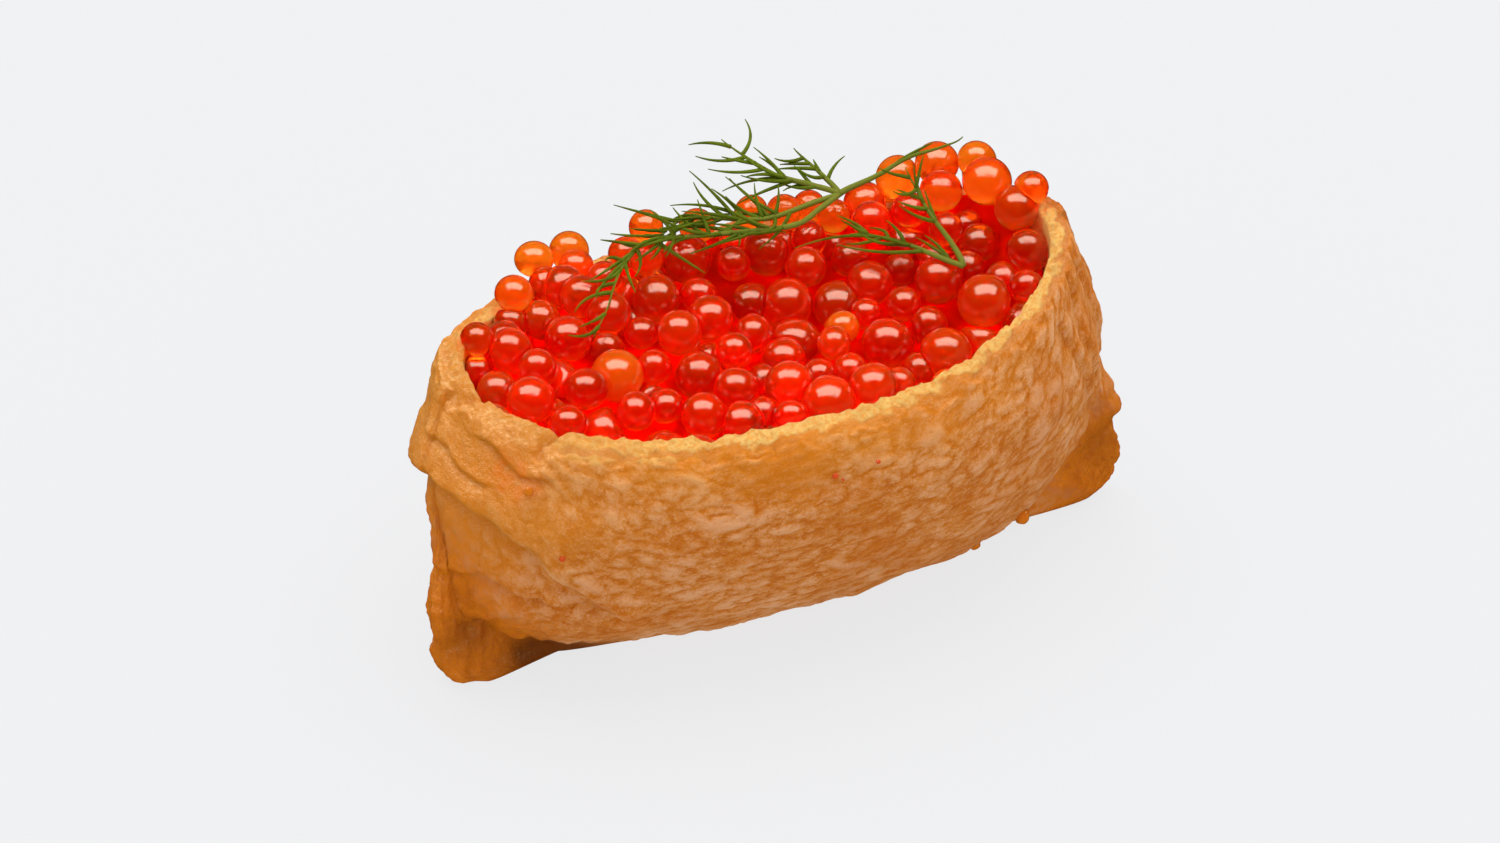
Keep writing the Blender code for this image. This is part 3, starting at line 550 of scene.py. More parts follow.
def store(piece, name, values, kind="FLOAT"):
    """Keep a value for each point of a piece, for its material to read."""
    attribute = piece.data.attributes.new(name, kind, "POINT")
    key = {"FLOAT": "value", "FLOAT_VECTOR": "vector"}[kind]
    attribute.data.foreach_set(key, np.asarray(values, dtype=np.float32).ravel())


def ring_faces(rings, count):
    """Quads between stacked rings of the same count, outside on the right."""
    faces = []
    for r in range(rings - 1):
        for i in range(count):
            j = (i + 1) % count
            faces.append((r * count + i, r * count + j, (r + 1) * count + j, (r + 1) * count + i))
    return faces


def strip_faces(start, count, upwards):
    """Close a ring with strips from each point to the one across from it."""
    faces = []
    for i in range(count // 2):
        far, farther = (count - i) % count, count - i - 1
        corners = list(dict.fromkeys((start + i, start + i + 1, start + farther, start + far)))
        if not upwards:
            corners.reverse()
        if len(corners) >= 3:
            faces.append(corners)
    return faces


def register_piece(piece, nodes):
    """Tie a finished piece to the model and to the solids that it stands for."""
    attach(piece, "root")
    if nodes:
        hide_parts(*nodes)


# ---------------------------------------------------------------- material helpers
class Wiring:
    """Short ways to add and join a material's nodes."""

    def __init__(self, name):
        self.material = bpy.data.materials.new(name)
        self.material.use_nodes = True
        self.tree = self.material.node_tree
        self.shader = self.tree.nodes["Principled BSDF"]
        self.output = self.tree.nodes["Material Output"]

    def add(self, kind, **settings):
        node = self.tree.nodes.new(kind)
        for key, value in settings.items():
            setattr(node, key, value)
        return node

    def join(self, source, target):
        self.tree.links.new(source, target)

    def put(self, socket, value):
        """Give a socket a value or join it to another node's output."""
        if isinstance(value, bpy.types.NodeSocket):
            self.join(value, socket)
        elif hasattr(value, "__len__") and len(value) == 3 and socket.type == "RGBA":
            socket.default_value = (*value, 1.0)
        else:
            socket.default_value = value

    def fill(self, node, values):
        """Put a value into each of a node's named inputs."""
        for name, value in values.items():
            self.put(node.inputs[name], value)

    def finish(self, values):
        """Fill in the shader and give back the finished material."""
        self.fill(self.shader, values)
        return self.material

    def attribute(self, name, vector=False):
        node = self.add("ShaderNodeAttribute", attribute_name=name)
        return node.outputs["Vector" if vector else "Fac"]

    def object_place(self):
        """Where a point lies on its own object."""
        return self.add("ShaderNodeTexCoord").outputs["Object"]

    def noise(self, vector, scale, detail=4.0, roughness=0.55, distortion=0.0):
        node = self.add("ShaderNodeTexNoise")
        self.fill(node, {"Vector": vector, "Scale": scale, "Detail": detail,
                         "Roughness": roughness, "Distortion": distortion})
        return node.outputs["Fac"]

    def spread(self, value, low, high, to_low=0.0, to_high=1.0):
        """Ease a value from one range into another."""
        node = self.add("ShaderNodeMapRange", interpolation_type="SMOOTHSTEP")
        self.fill(node, {"Value": value, "From Min": low, "From Max": high,
                         "To Min": to_low, "To Max": to_high})
        return node.outputs["Result"]

    def math(self, operation, a, b=0.0):
        node = self.add("ShaderNodeMath", operation=operation)
        self.put(node.inputs[0], a)
        self.put(node.inputs[1], b)
        return node.outputs[0]

    def times(self, a, b):
        return self.math("MULTIPLY", a, b)

    def weighted(self, *terms):
        """The sum of some outputs, each times its weight."""
        total = None
        for output, weight in terms:
            term = self.times(output, weight)
            total = term if total is None else self.math("ADD", total, term)
        return total

    def blend(self, share, a, b):
        node = self.add("ShaderNodeMix", data_type="RGBA")
        self.put(node.inputs["Factor"], share)
        colours = [s for s in node.inputs if s.type == "RGBA"]
        self.put(colours[0], a)
        self.put(colours[1], b)
        return next(s for s in node.outputs if s.type == "RGBA")

    def bump(self, height, distance, strength=1.0, normal=None):
        node = self.add("ShaderNodeBump")
        self.fill(node, {"Strength": strength, "Distance": distance, "Height": height})
        if normal is not None:
            self.put(node.inputs["Normal"], normal)
        return node.outputs["Normal"]


# ---------------------------------------------------------------- materials
def tofu_material(settings):
    """Fried skin: pale fibres over orange pores, soaked ears and a pale torn rim, with painted
    highlights and painted shade.
    """
    w = Wiring("fried_tofu_skin")
    names = ("pale", "soaked", "golden", "ridged")
    pale, soaked, golden, ridged = (w.attribute(name) for name in names)
    moist = w.math("MAXIMUM", soaked, golden)
    grain = w.attribute("grain", vector=True)
    fuzz = w.noise(grain, 2.3, 8.0, 0.75, 1.0)
    granules = w.noise(grain, 0.85, 8.0, 0.70, 0.8)
    place = w.object_place()
    speckle = w.noise(place, 3800.0, 4.0, 0.7)
    crumbs = w.noise(place, 2400.0, 5.0, 0.7)
    tone = w.noise(place, 75.0, 3.0, 0.5)
    height = w.weighted((fuzz, 0.40), (ridged, 0.22), (speckle, 0.22), (granules, 0.16))
    creases = w.weighted((ridged, 0.45), (granules, 0.55))
    tips = w.spread(height, 0.44, 0.61)

    # Pits and creases take the pore colour and the raised tips the fuzz colour: partly the skin's
    # own colours, partly painted shade in the recesses and painted light on the crests.
    skin = w.blend(w.spread(creases, 0.34, 0.54), settings.pores, settings.skin)
    skin = w.blend(tips, skin, settings.fuzz)
    skin = w.blend(w.times(w.spread(tone, 0.5, 0.75), 0.5), skin, settings.pores)
    # The raised granules of the golden skin are painted lighter: partly their own colour, partly
    # painted light.
    bright = toned(settings.gold, 1.08, 1.35, 3.5)
    gold = w.blend(w.spread(height, 0.50, 0.64), settings.gold, bright)
    skin = w.blend(w.times(w.attribute("warm"), 0.85), skin, gold)
    skin = w.blend(soaked, skin, w.blend(w.times(tips, 0.8), settings.soaked, settings.pores))
    # Painted shade below the ears and in a fold, where the pouch hangs over the table.
    skin = w.blend(w.attribute("shaded"), skin, settings.deep)
    crumb_dark = toned(settings.crumb, 0.96, 0.70, 0.46)
    crumb = w.blend(w.spread(crumbs, 0.40, 0.56), crumb_dark, settings.crumb)
    skin = w.blend(pale, skin, w.blend(golden, crumb, gold))
    skin = w.blend(w.attribute("stained"), skin, settings.stain)

    loose = w.math("SUBTRACT", 1.0, w.times(soaked, 0.6))
    coarse = w.weighted((fuzz, 0.6), (granules, 0.5))
    torn = w.math("MAXIMUM", pale, w.times(moist, 0.65))
    shape = w.bump(w.times(coarse, loose), 0.24 * MM, 0.9)
    shape = w.bump(w.times(speckle, loose), 0.10 * MM, 0.9, shape)
    shape = w.bump(w.times(crumbs, torn), 0.34 * MM, 0.9, shape)

    # Painted highlights: the glint colour where the bumped normal faces up on moist skin, as if lit
    # from overhead.
    parts = w.add("ShaderNodeSeparateXYZ")
    w.put(parts.inputs["Vector"], shape)
    glints = w.times(w.spread(parts.outputs["Z"], 0.62, 1.0), moist)
    glints = w.times(glints, w.spread(crumbs, 0.42, 0.60, 0.25, 1.0))
    rough = w.spread(speckle, 0.3, 0.7, 0.50, 0.68)
    return w.finish({
        "Base Color": w.blend(glints, skin, settings.glint),
        "Roughness": w.math("SUBTRACT", rough, w.times(soaked, 0.30)),
        "Normal": shape,
        "Coat Normal": shape,
        "Coat Weight": w.times(moist, 0.65),
        "Coat Roughness": 0.16,
        "Coat IOR": 1.6,
        "Subsurface Weight": 0.15,
        "Subsurface Radius": (1.0, 0.45, 0.12),
        "Subsurface Scale": 1.0 * MM,
        "Specular IOR Level": 0.06,
    })


def egg_material(settings):
    """Clear wet eggs whose flesh colours the light that passes, with light and shade painted by
    height on each egg.
    """
    w = Wiring("trout_egg")
    tint = w.attribute("tint")
    level = w.attribute("level")
    # Painted light and shade by height on each egg: the lower half brighter and more orange, as if
    # light that passes through gathered at its bottom, and a darker band across the middle.
    low = w.spread(level, 0.10, -0.62)
    shaded_red_middle = toned(settings.red_top, 1.0, 0.12, 0.10)
    red = w.blend(w.spread(level, 0.88, 0.38), settings.red_top, shaded_red_middle)
    red = w.blend(low, red, settings.red)
    orange = w.blend(low, settings.orange_top, settings.orange)
    streaks = w.noise(w.object_place(), 900.0, 4.0, 0.6, 0.8)
    volume = w.add("ShaderNodeVolumeAbsorption")
    w.fill(volume, {"Color": FLESH_FILTER, "Density": settings.density})
    w.join(volume.outputs["Volume"], w.output.inputs["Volume"])
    return w.finish({
        "Base Color": w.blend(tint, red, orange),
        "Roughness": 0.02,
        "IOR": 1.34,
        "Transmission Weight": w.spread(tint, 0.0, 1.0, 0.82, 0.60),
        "Subsurface Weight": 1.0,
        "Subsurface Radius": (1.0, 0.22, 0.04),
        "Subsurface Scale": 1.6 * MM,
        "Coat Weight": 1.0,
        "Coat Roughness": 0.12,
        "Coat IOR": 1.65,
        "Coat Normal": w.bump(streaks, 0.10 * MM, 0.5),
    })


def core_material(settings):
    """The deep red juice between the eggs."""
    w = Wiring("roe_juice")
    place = w.object_place()
    shade = w.spread(w.noise(place, 260.0, 3.0), 0.35, 0.65)
    return w.finish({
        "Base Color": w.blend(shade, toned(settings.core, 0.72), settings.core),
        "Roughness": 0.35,
        "Specular IOR Level": 0.0,
        "Subsurface Weight": 0.5,
        "Subsurface Radius": (1.0, 0.15, 0.03),
        "Subsurface Scale": 1.5 * MM,
        "Normal": w.bump(w.noise(place, 700.0, 2.0), 0.25 * MM, 0.6),
    })


def dill_material(settings):
    """Fresh leaf with paler stalks."""
    w = Wiring("dill_leaf")
    place = w.object_place()
    patches = w.spread(w.noise(place, 420.0, 3.0, 0.5), 0.35, 0.65)
    leaf = w.blend(patches, settings.leaf, toned(settings.leaf, 1.55))
    return w.finish({
        "Base Color": w.blend(w.times(w.attribute("along"), 0.8), leaf, settings.stalk),
        "Roughness": 0.55,
        "Specular IOR Level": 0.03,
        "Subsurface Weight": 0.2,
        "Subsurface Radius": (0.4, 1.0, 0.05),
        "Subsurface Scale": 0.3 * MM,
        "Normal": w.bump(w.noise(place, 3200.0, 3.0, 0.6), 0.04 * MM, 0.5),
    })


def bead_material(name, rgb, roughness, transmission):
    """Small wet beads and specks."""
    w = Wiring(name)
    shade = w.spread(w.noise(w.object_place(), 900.0, 2.0), 0.35, 0.65)
    return w.finish({
        "Base Color": w.blend(shade, toned(rgb, 0.8), rgb),
        "Roughness": roughness,
        "Transmission Weight": transmission,
        "Subsurface Weight": 0.3,
        "Subsurface Radius": (1.0, 0.4, 0.1),
        "Subsurface Scale": 0.5 * MM,
        "Coat Weight": 0.6,
        "Coat Roughness": 0.06,
    })


# ---------------------------------------------------------------- pouch shape
def outer_ring(share, count):
    """The smooth outer face at a share of the height."""
    halves = []
    for belly, keel, lean, end in (
        (BELLY_LEFT, KEEL_LEFT, LEAN_LEFT, RIM_LEFT),
        (BELLY_RIGHT, KEEL_RIGHT, LEAN_RIGHT, RIM_RIGHT),
    ):
        length = between(belly, share)
        halves.append((length, max(between(keel, share), length + KEEL_PAST_BELLY),
                       between(lean, share), end))
    belly_width = between(BELLY_HALF_WIDTH, share)
    keel_width = between(KEEL_HALF_WIDTH, share)
    ring = []
    for i in range(count):
        turn = 2 * math.pi * i / count
        along, across = math.cos(turn), math.sin(turn)
        length, reach, lean, end = halves[0] if along < 0 else halves[1]
        x = along * reach
        half = rounded_max(
            lens(x, length, belly_width, BELLY_BLUNTNESS),
            lens(x, reach, keel_width, KEEL_BLUNTNESS),
            SEAM_BLEND,
        )
        if across > 0:
            half += FAR_SIDE_EXTRA * (1 - along * along) * share * share
        if abs(across) < 1e-6:
            half = 0.0
        y = math.copysign(half, across) + lean * (abs(x) / reach) ** LEAN_POWER
        rim = RIM_MIDDLE + (end - RIM_MIDDLE) * abs(along) ** 3
        ring.append((x, y, share * rim))
    return ring


def opening_length(x):
    """Half the length of the opening, which differs from left to right."""
    return BELLY_LEFT[-1] - WALL_LEFT if x < 0 else BELLY_RIGHT[-1] - WALL_RIGHT


def rim_lean(x):
    """How far the rim is bent across the pouch."""
    return (LEAN_LEFT if x < 0 else LEAN_RIGHT)[-1] * (abs(x) / RIM_REACH) ** LEAN_POWER


def bed_point(turn, inset):
    """A point of the opening's outline, inset from the pouch's inner wall."""
    along, across = math.cos(turn), math.sin(turn)
    x = along * (opening_length(along) - inset)
    half = lens(x, opening_length(along) - inset, OPENING_HALF_WIDTH - inset, BELLY_BLUNTNESS)
    if across > 0:
        half += FAR_SIDE_EXTRA * (1 - along * along)
    return x, math.copysign(half, across) + rim_lean(x) if abs(across) > 1e-6 else rim_lean(x)


def bed_row(turns, inset, drop):
    """The opening's outline, inset and lowered below the rim."""
    row = np.array([(*bed_point(t, inset), 0.0) for t in turns])
    row[:, 2] = [rim_height(x) - drop for x in row[:, 0]]
    return row


def grid_normals(points):
    """Outward normals of a grid of rings, from its neighbours."""
    around = np.roll(points, -1, axis=1) - np.roll(points, 1, axis=1)
    up = np.gradient(points, axis=0)
    normals = np.cross(around, up)
    return normals / np.maximum(np.linalg.norm(normals, axis=2, keepdims=True), 1e-9)


def wall_cell(points, degrees, height):
    """The row and column of the point nearest to an angle round and a height."""
    column = int(round(degrees / 360.0 * AROUND)) % AROUND
    return int(np.argmin(np.abs(points[:, column, 2] - height))), column


def on_wall(points, degrees, height):
    return points[wall_cell(points, degrees, height)]


def fold_offsets(points):
    """How far the folds push each point outwards."""
    flat = points.reshape(-1, 3)
    total = np.zeros(len(flat))
    for line, swell, tuck, width, edge in FOLDS:
        stops = [on_wall(points, degrees, height) for degrees, height in line]
        turns = [
            on_wall(points, degrees + FOLD_TURN, height)
            - on_wall(points, degrees - FOLD_TURN, height)
            for degrees, height in line
        ]
        best = np.full(len(flat), np.inf)
        side = np.zeros(len(flat))
        for a, b, turn in zip(stops, stops[1:], turns):
            run = b - a
            share = np.clip((flat - a) @ run / (run @ run), 0.0, 1.0)
            foot = a + share[:, None] * run
            gap = np.linalg.norm(flat - foot, axis=1)
            steep = abs(run[2]) > math.hypot(run[0], run[1])
            across = turn / np.linalg.norm(turn) if steep else np.array([0.0, 0.0, 1.0])
            closer = gap < best
            best = np.where(closer, gap, best)
            side = np.where(closer, (flat - foot) @ across, side)
        away = np.exp(-((best / width) ** 2))
        over = fade((side + edge) / (2 * edge))
        near = np.exp(-((best / (0.45 * width)) ** 2))
        total += swell * over * away - tuck * (1 - over) * near
    return total.reshape(points.shape[:2])


def puffiness(flat, turns):
    """How lumpy the skin is: most at the ends and on the ears."""
    along = np.cos(turns)
    left = fade((-along - 0.5) / 0.35)
    right = 0.55 * fade((along - 0.80) / 0.15)
    ears = fade((np.abs(flat[:, 0]) - 24.0) / 6.0) * fade((15.0 - flat[:, 2]) / 6.0)
    return np.clip(0.14 + left + right + 0.8 * ears, 0.0, 1.0)


def creased(values, roundness):
    """The size of each value, with a rounded bottom where it changes sign."""
    return np.sqrt(values**2 + roundness**2)


def puffs(flat):
    """Rounded lumps with creases between them."""
    tall = flat * np.array([1.0, 1.0, 0.7])
    large = creased(noises(tall, 4.4, 5.0), 0.12) - 0.25
    small = creased(noises(tall, 2.0, 9.0), 0.08) - 0.23
    fine = creased(noises(flat, 0.95, 12.0), 0.06) - 0.22
    crumpled = 1.0 - 0.75 * fade((flat[:, 2] - 12.0) / 7.0)
    return 1.35 * large * (0.4 + 0.6 * crumpled) + (0.7 * small + 0.3 * fine) * crumpled


def notch_depths(turns):
    """How deep the torn rim is notched at each angle round."""
    degrees = np.degrees(turns)
    depth = np.zeros(len(turns))
    for place, half_width, most in RIM_NOTCHES:
        away = (degrees - place + 180.0) % 360.0 - 180.0
        depth += most * np.exp(-np.abs(away / half_width) ** 1.5)
    return depth


def rim_crumbs(points):
    """The rough height of the torn tofu, coarse to fine."""
    rough = 0.32 * noises(points, 1.5, 11.0) + 0.34 * noises(points, 0.75, 4.0)
    return rough + 0.22 * noises(points, 0.45, 8.0)


def grain_places(turns, heights):
    """Where the fibres' noise is read: on a drum that is stretched less at the pouch's ends."""
    side = np.abs(np.cos(turns)) ** 3
    return np.stack([
        np.cos(turns) * GRAIN_RADIUS,
        np.sin(turns) * GRAIN_RADIUS,
        heights * (GRAIN_STRETCH - GRAIN_END_STRETCH * side),
    ], axis=-1)


def skin_relief(flat, turns, depth):
    """How far waves, lumps, granules and puffs push each point outwards, and the granules."""
    grain = grain_places(turns, flat[:, 2])
    granules = 2.6 * np.abs(noises(grain, 2.1, 3.0)) + 1.6 * np.abs(noises(grain, 1.1, 5.0))
    granules *= 0.75 + 0.6 * noises(flat, 5.5, 33.0)
    granules -= 0.7
    relief = SKIN_WAVES * noises(flat, SKIN_WAVE_LENGTH) + 0.22 * noises(flat, 3.1, 7.0)
    relief += depth * granules
    relief += puffiness(flat, turns) * puffs(flat)
    return relief, granules


def outer_face(smooth, turns, shares, depth):
    """The skin's outside, its top ring before the tear and its granules."""
    shape = smooth.shape[:2]
    normals = grid_normals(smooth)
    normals = sum(np.roll(normals, k, axis=1) for k in range(-NORMAL_REACH, NORMAL_REACH + 1))
    normals /= np.linalg.norm(normals, axis=2, keepdims=True)
    relief, granules = skin_relief(smooth.reshape(-1, 3), np.tile(turns, len(shares)), depth)
    offset = relief.reshape(shape) + fold_offsets(smooth)
    offset *= fade(shares / FOOT_SHARE)
    crown = np.clip((shares - 1 + ROUNDED_SHARE) / ROUNDED_SHARE, 0.0, 1.0)
    offset -= ROUNDED_DEPTH * crown**2
    outer = smooth + normals * offset[:, :, None]
    foot = np.clip(1.0 - shares / FOOT_SHARE, 0.0, 1.0)
    outer[:, :, :2] *= 1.0 - FOOT_ROUNDING * foot[:, :, None] ** 2
    waves = RIM_WAVES * noises(smooth[-1] + np.array([0, 0, 40.0]), CRUMB_LENGTH)
    near_top = fade((shares - 1 + WAVED_TOP) / WAVED_TOP)
    outer[:, :, 2] += near_top * (waves - notch_depths(turns) * NOTCH_OUTSIDE)
    outer[:, :, 2] -= SHOULDER_DROP * crown**2
    outer[:, :, 2] = np.maximum(outer[:, :, 2], 0.0)
    outer[0, :, 2] = 0.0
    bare_top = outer[-1].copy()
    torn = fade((shares - TORN_FROM) / TORN_RUN)
    outer[:, :, 2] += torn * rim_crumbs(outer.reshape(-1, 3)).reshape(shape)
    return outer, bare_top, granules


def torn_rim(bare_top, inner_edge, notches):
    """Rows over the rim, from its outer to its inner edge."""
    inwards = (inner_edge - bare_top)[:, :2]
    inwards /= np.maximum(np.linalg.norm(inwards, axis=1, keepdims=True), 1e-6)
    rows = []
    for k in range(1, RIM_RINGS + 1):
        share = k / RIM_RINGS
        row = bare_top * (1 - share) + inner_edge * share
        dome = 0.5 * RIM_DOME * math.sin(math.pi * share)
        dome += SHOULDER_DROP * share * (1 - share) + INNER_LIFT * share
        jitter = 0.22 * noises(row, 0.9, 21.0) * math.sin(math.pi * share)
        row[:, 2] += dome + rim_crumbs(row) - notches * NOTCH_INSIDE * share
        row[:, :2] += inwards * jitter[:, None]
        rows.append(row)
    return np.array(rows)


def inner_wall(turns, inner_edge, torn_edge):
    """Rows down the inside of the pouch to the bed below the roe."""
    rows = []
    for k in range(1, INSIDE_RINGS + 1):
        share = k / INSIDE_RINGS
        depth = (BED_DEPTH - BED_ROUND) * share**1.3
        row = inner_edge.copy()
        row[:, 2] = torn_edge * (1 - share) + (inner_edge[:, 2] - depth) * share
        row[:, 2] = np.minimum(row[:, 2], torn_edge - depth * 0.9)
        rough = 0.16 * noises(row, 1.0, 31.0) - 0.05
        outwards = row[:, :2] / np.linalg.norm(row[:, :2], axis=1, keepdims=True)
        row[:, :2] += outwards * rough[:, None]
        rows.append(row)
    rows.append(bed_row(turns, BED_ROUND, BED_DEPTH))
    return np.array(rows)


def build_pouch(settings):
    """The fried bag, from its folded bottom over the torn rim to the bed below the roe."""
    shares = np.array([(i / UP) ** (1 / UP_POWER) for i in range(UP + 1)])
    smooth = np.array([outer_ring(share, AROUND) for share in shares])
    turns = np.arange(AROUND) * 2 * math.pi / AROUND
    outer, bare_top, granules = outer_face(smooth, turns, shares[:, None], settings.relief / MM)
    inner_edge = bed_row(turns, 0.0, 0.0)
    rim = torn_rim(bare_top, inner_edge, notch_depths(turns))
    inside = inner_wall(turns, inner_edge, rim[-1, :, 2])
    points = np.concatenate([outer, rim, inside])
    last = (len(points) - 1) * AROUND
    faces = ring_faces(len(points), AROUND)
    faces += strip_faces(0, AROUND, upwards=False) + strip_faces(last, AROUND, upwards=True)
    pouch = new_piece("fried_tofu_pouch", points.reshape(-1, 3), faces, tofu_material(settings))
    add_skin_marks(pouch, points, smooth, turns, granules)
    register_piece(pouch, ["tofu_pouch"])
    build_beads("roe_specks", RED_SPECKS, smooth, outer,
                bead_material("red_speck", settings.speck, 0.25, 0.2))
    build_beads("syrup_drops", SYRUP_DROPS, smooth, outer,
                bead_material("syrup_drop", settings.syrup, 0.08, 0.35))


def spots(smooth, flat, marks):
    """Marks on the wall, each strongest at its place and fading out over its reach."""
    total = np.zeros(len(flat))
    for strength, degrees, height, reach in marks:
        away = np.linalg.norm(flat - on_wall(smooth, degrees, height), axis=1)
        total += strength * np.exp(-((away / reach) ** 2))
    return total


def add_skin_marks(pouch, points, smooth, turns, granules):
    """Where the skin is pale, soaked or stained, where shade is painted on it, and which way its
    fibres run.
    """
    rows, outer_rows = len(points), len(smooth)
    flat = points.reshape(-1, 3)
    below = np.array([rim_height(x) for x in flat[:, 0]]) - flat[:, 2]
    row_of = np.repeat(np.arange(rows), AROUND)
    turn_of = np.tile(turns, rows)
    degrees = np.degrees(turn_of)

    band = -0.35 + 0.4 * noises(flat, 4.0, 2.0) + 0.4 * noises(flat, 1.2, 9.0)
    band += 1.2 * np.exp(-(((degrees - 232) / 15) ** 2))
    pale = fade((band - below) / 0.9 + 0.5)
    across = (row_of - outer_rows + 1) / RIM_RINGS
    torn = 0.34 - 0.20 * band + 0.40 * noises(flat, 1.6, 19.0) + 0.2 * noises(flat, 0.7, 29.0)
    pale = np.where(row_of >= outer_rows, fade((across - torn) / 0.25 + 0.5), pale)
    pale = np.where(row_of >= outer_rows + RIM_RINGS, 0.8, pale)

    soaked = spots(smooth, flat, SOAKED_SPOTS) + 0.5 * fade((1.6 - flat[:, 2]) / 1.6)
    soaked += 0.15 * noises(flat, 3.0, 14.0)
    stained = spots(smooth, flat, STAINED_SPOTS) * (0.5 + 0.9 * noises(flat, 1.2, 17.0))
    # Painted shade below the ears and in a fold.
    shaded = spots(smooth, flat, SHADED_SPOTS)
    ridged = np.full(len(flat), 0.5)
    ridged[: len(granules)] = 0.5 + 0.4 * granules
    grain = grain_places(turn_of, flat[:, 2])
    grain[:, 2] += GRAIN_RIM_STEP * np.maximum(row_of - outer_rows + 1, 0)

    warm = fade((250.0 - degrees) / 50.0) * fade((degrees - 120.0) / 40.0)
    warm *= fade((flat[:, 2] - 12.0) / 12.0)
    upper = 0.5 * fade((8.5 - below) / 8.0) * fade((335.0 - degrees) / 60.0)
    warm = np.maximum(warm, upper * (degrees > 120)) + 0.15 * noises(flat, 3.5, 23.0)
    golden = fade((245.0 - degrees) / 40.0) * fade((degrees - 130.0) / 40.0)
    golden *= fade((flat[:, 2] - 14.0) / 8.0)
    marks = {
        "golden": golden, "warm": np.clip(warm, 0, 1), "shaded": np.clip(shaded, 0.0, 0.95),
        "pale": pale, "soaked": np.clip(soaked, 0.0, 1.0),
        "stained": np.clip(stained, 0.0, 0.35), "ridged": ridged,
    }
    for name, values in marks.items():
        store(pouch, name, values)
    store(pouch, "grain", grain, "FLOAT_VECTOR")


def build_beads(name, marks, smooth, outer, material):
    """Small squashed beads that stick to the wall."""
    normals = grid_normals(outer)
    mesh = bmesh.new()
    for degrees, height, radius, thickness in marks:
        cell = wall_cell(smooth, degrees, height)
        normal = Vector(normals[cell])
        centre = Vector(outer[cell]) + normal * (radius * thickness * 0.45)
        centre.z = max(centre.z, radius * 0.9)
        bead = bmesh.ops.create_icosphere(mesh, subdivisions=BEAD_SUBDIVISIONS, radius=radius)
        for vertex in bead["verts"]:
            place = vertex.co.copy()
            place += place * (0.22 * noise.noise(place / (0.8 * radius) + centre))
            place -= normal * (place.dot(normal) * (1.0 - thickness))
            vertex.co = (centre + place) * MM
    data = bpy.data.meshes.new(name)
    mesh.to_mesh(data)
    mesh.free()
    data.materials.append(material)
    data.shade_smooth()
    register_piece(add_object(name, data), [])


# ---------------------------------------------------------------- roe shape
def roe_top(x, y):
    height = rim_height(x) - NEAR_DIP + BACK_RISE * ease((y - RISE_FROM) / RISE_RUN)
    for hump_x, hump_y, reach, rise in HUMPS:
        away = ((x - hump_x) ** 2 + (y - hump_y) ** 2) / reach**2
        height += rise * math.exp(-1.6 * away)
    return height


def wall_distance(x, y):
    """How far a point lies inside the opening, negative outside."""
    low, high = -3.0, OPENING_HALF_WIDTH
    lean = rim_lean(x)
    extra = FAR_SIDE_EXTRA * max(1 - (x / RIM_REACH) ** 2, 0.0) if y > lean else 0.0
    for _ in range(14):
        inset = (low + high) / 2
        end = opening_length(x) - inset
        half = lens(x, end, OPENING_HALF_WIDTH - inset, BELLY_BLUNTNESS) + extra
        if abs(x) < end and abs(y - lean) < half:
            low = inset
        else:
            high = inset
    return low


def clear_of_rim(x, y, radius):
    """How high a ball's centre lies where it just clears the rim, or 0 inside the opening."""
    reach = radius + GAP
    inside = wall_distance(x, y)
    if inside >= reach:
        return 0.0
    return rim_height(x) + RIM_DOME + RIM_WAVES / 2 + math.sqrt(reach**2 - max(inside, 0.0) ** 2)


class EggHeap:
    """Eggs as (x, y, z, radius, tint), found again by the cell that they lie over."""

    def __init__(self):
        self.eggs = []
        self.cells = {}

    def shown_radii(self):
        """Seen eggs nearly keep their size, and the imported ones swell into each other."""
        packed = len(self.eggs) - len(SEEN_EGGS)
        swell = [EGG_SEEN_SWELL] * len(SEEN_EGGS) + [EGG_SWELL] * packed
        return [egg[3] * grown for egg, grown in zip(self.eggs, swell)]

    def add(self, x, y, z, radius, tint):
        cell = (math.floor(x / EGG_CELL), math.floor(y / EGG_CELL))
        self.cells.setdefault(cell, []).append((x, y, z, radius))
        self.eggs.append((x, y, z, radius, tint))

    def near(self, x, y):
        column, row = math.floor(x / EGG_CELL), math.floor(y / EGG_CELL)
        for i in (column - 1, column, column + 1):
            for j in (row - 1, row, row + 1):
                yield from self.cells.get((i, j), ())

    def resting_height(self, x, y, radius):
        """The lowest free height above the bottom layer, or None too near the wall."""
        if wall_distance(x, y) < EGG_WALL_GAP:
            return None
        taken = []
        for other_x, other_y, other_z, other in self.near(x, y):
            reach = (EGG_CLOSENESS * (other + radius)) ** 2
            reach -= (other_x - x) ** 2 + (other_y - y) ** 2
            if reach > 0:
                half = math.sqrt(reach)
                taken.append((other_z - half, other_z + half))
        z = roe_top(x, y) - EGG_LAYERS_DEPTH + radius
        moved = True
        while moved:
            moved = False
            for low, high in taken:
                if low + 1e-9 < z < high - 1e-9:
                    z = high
                    moved = True
        return z


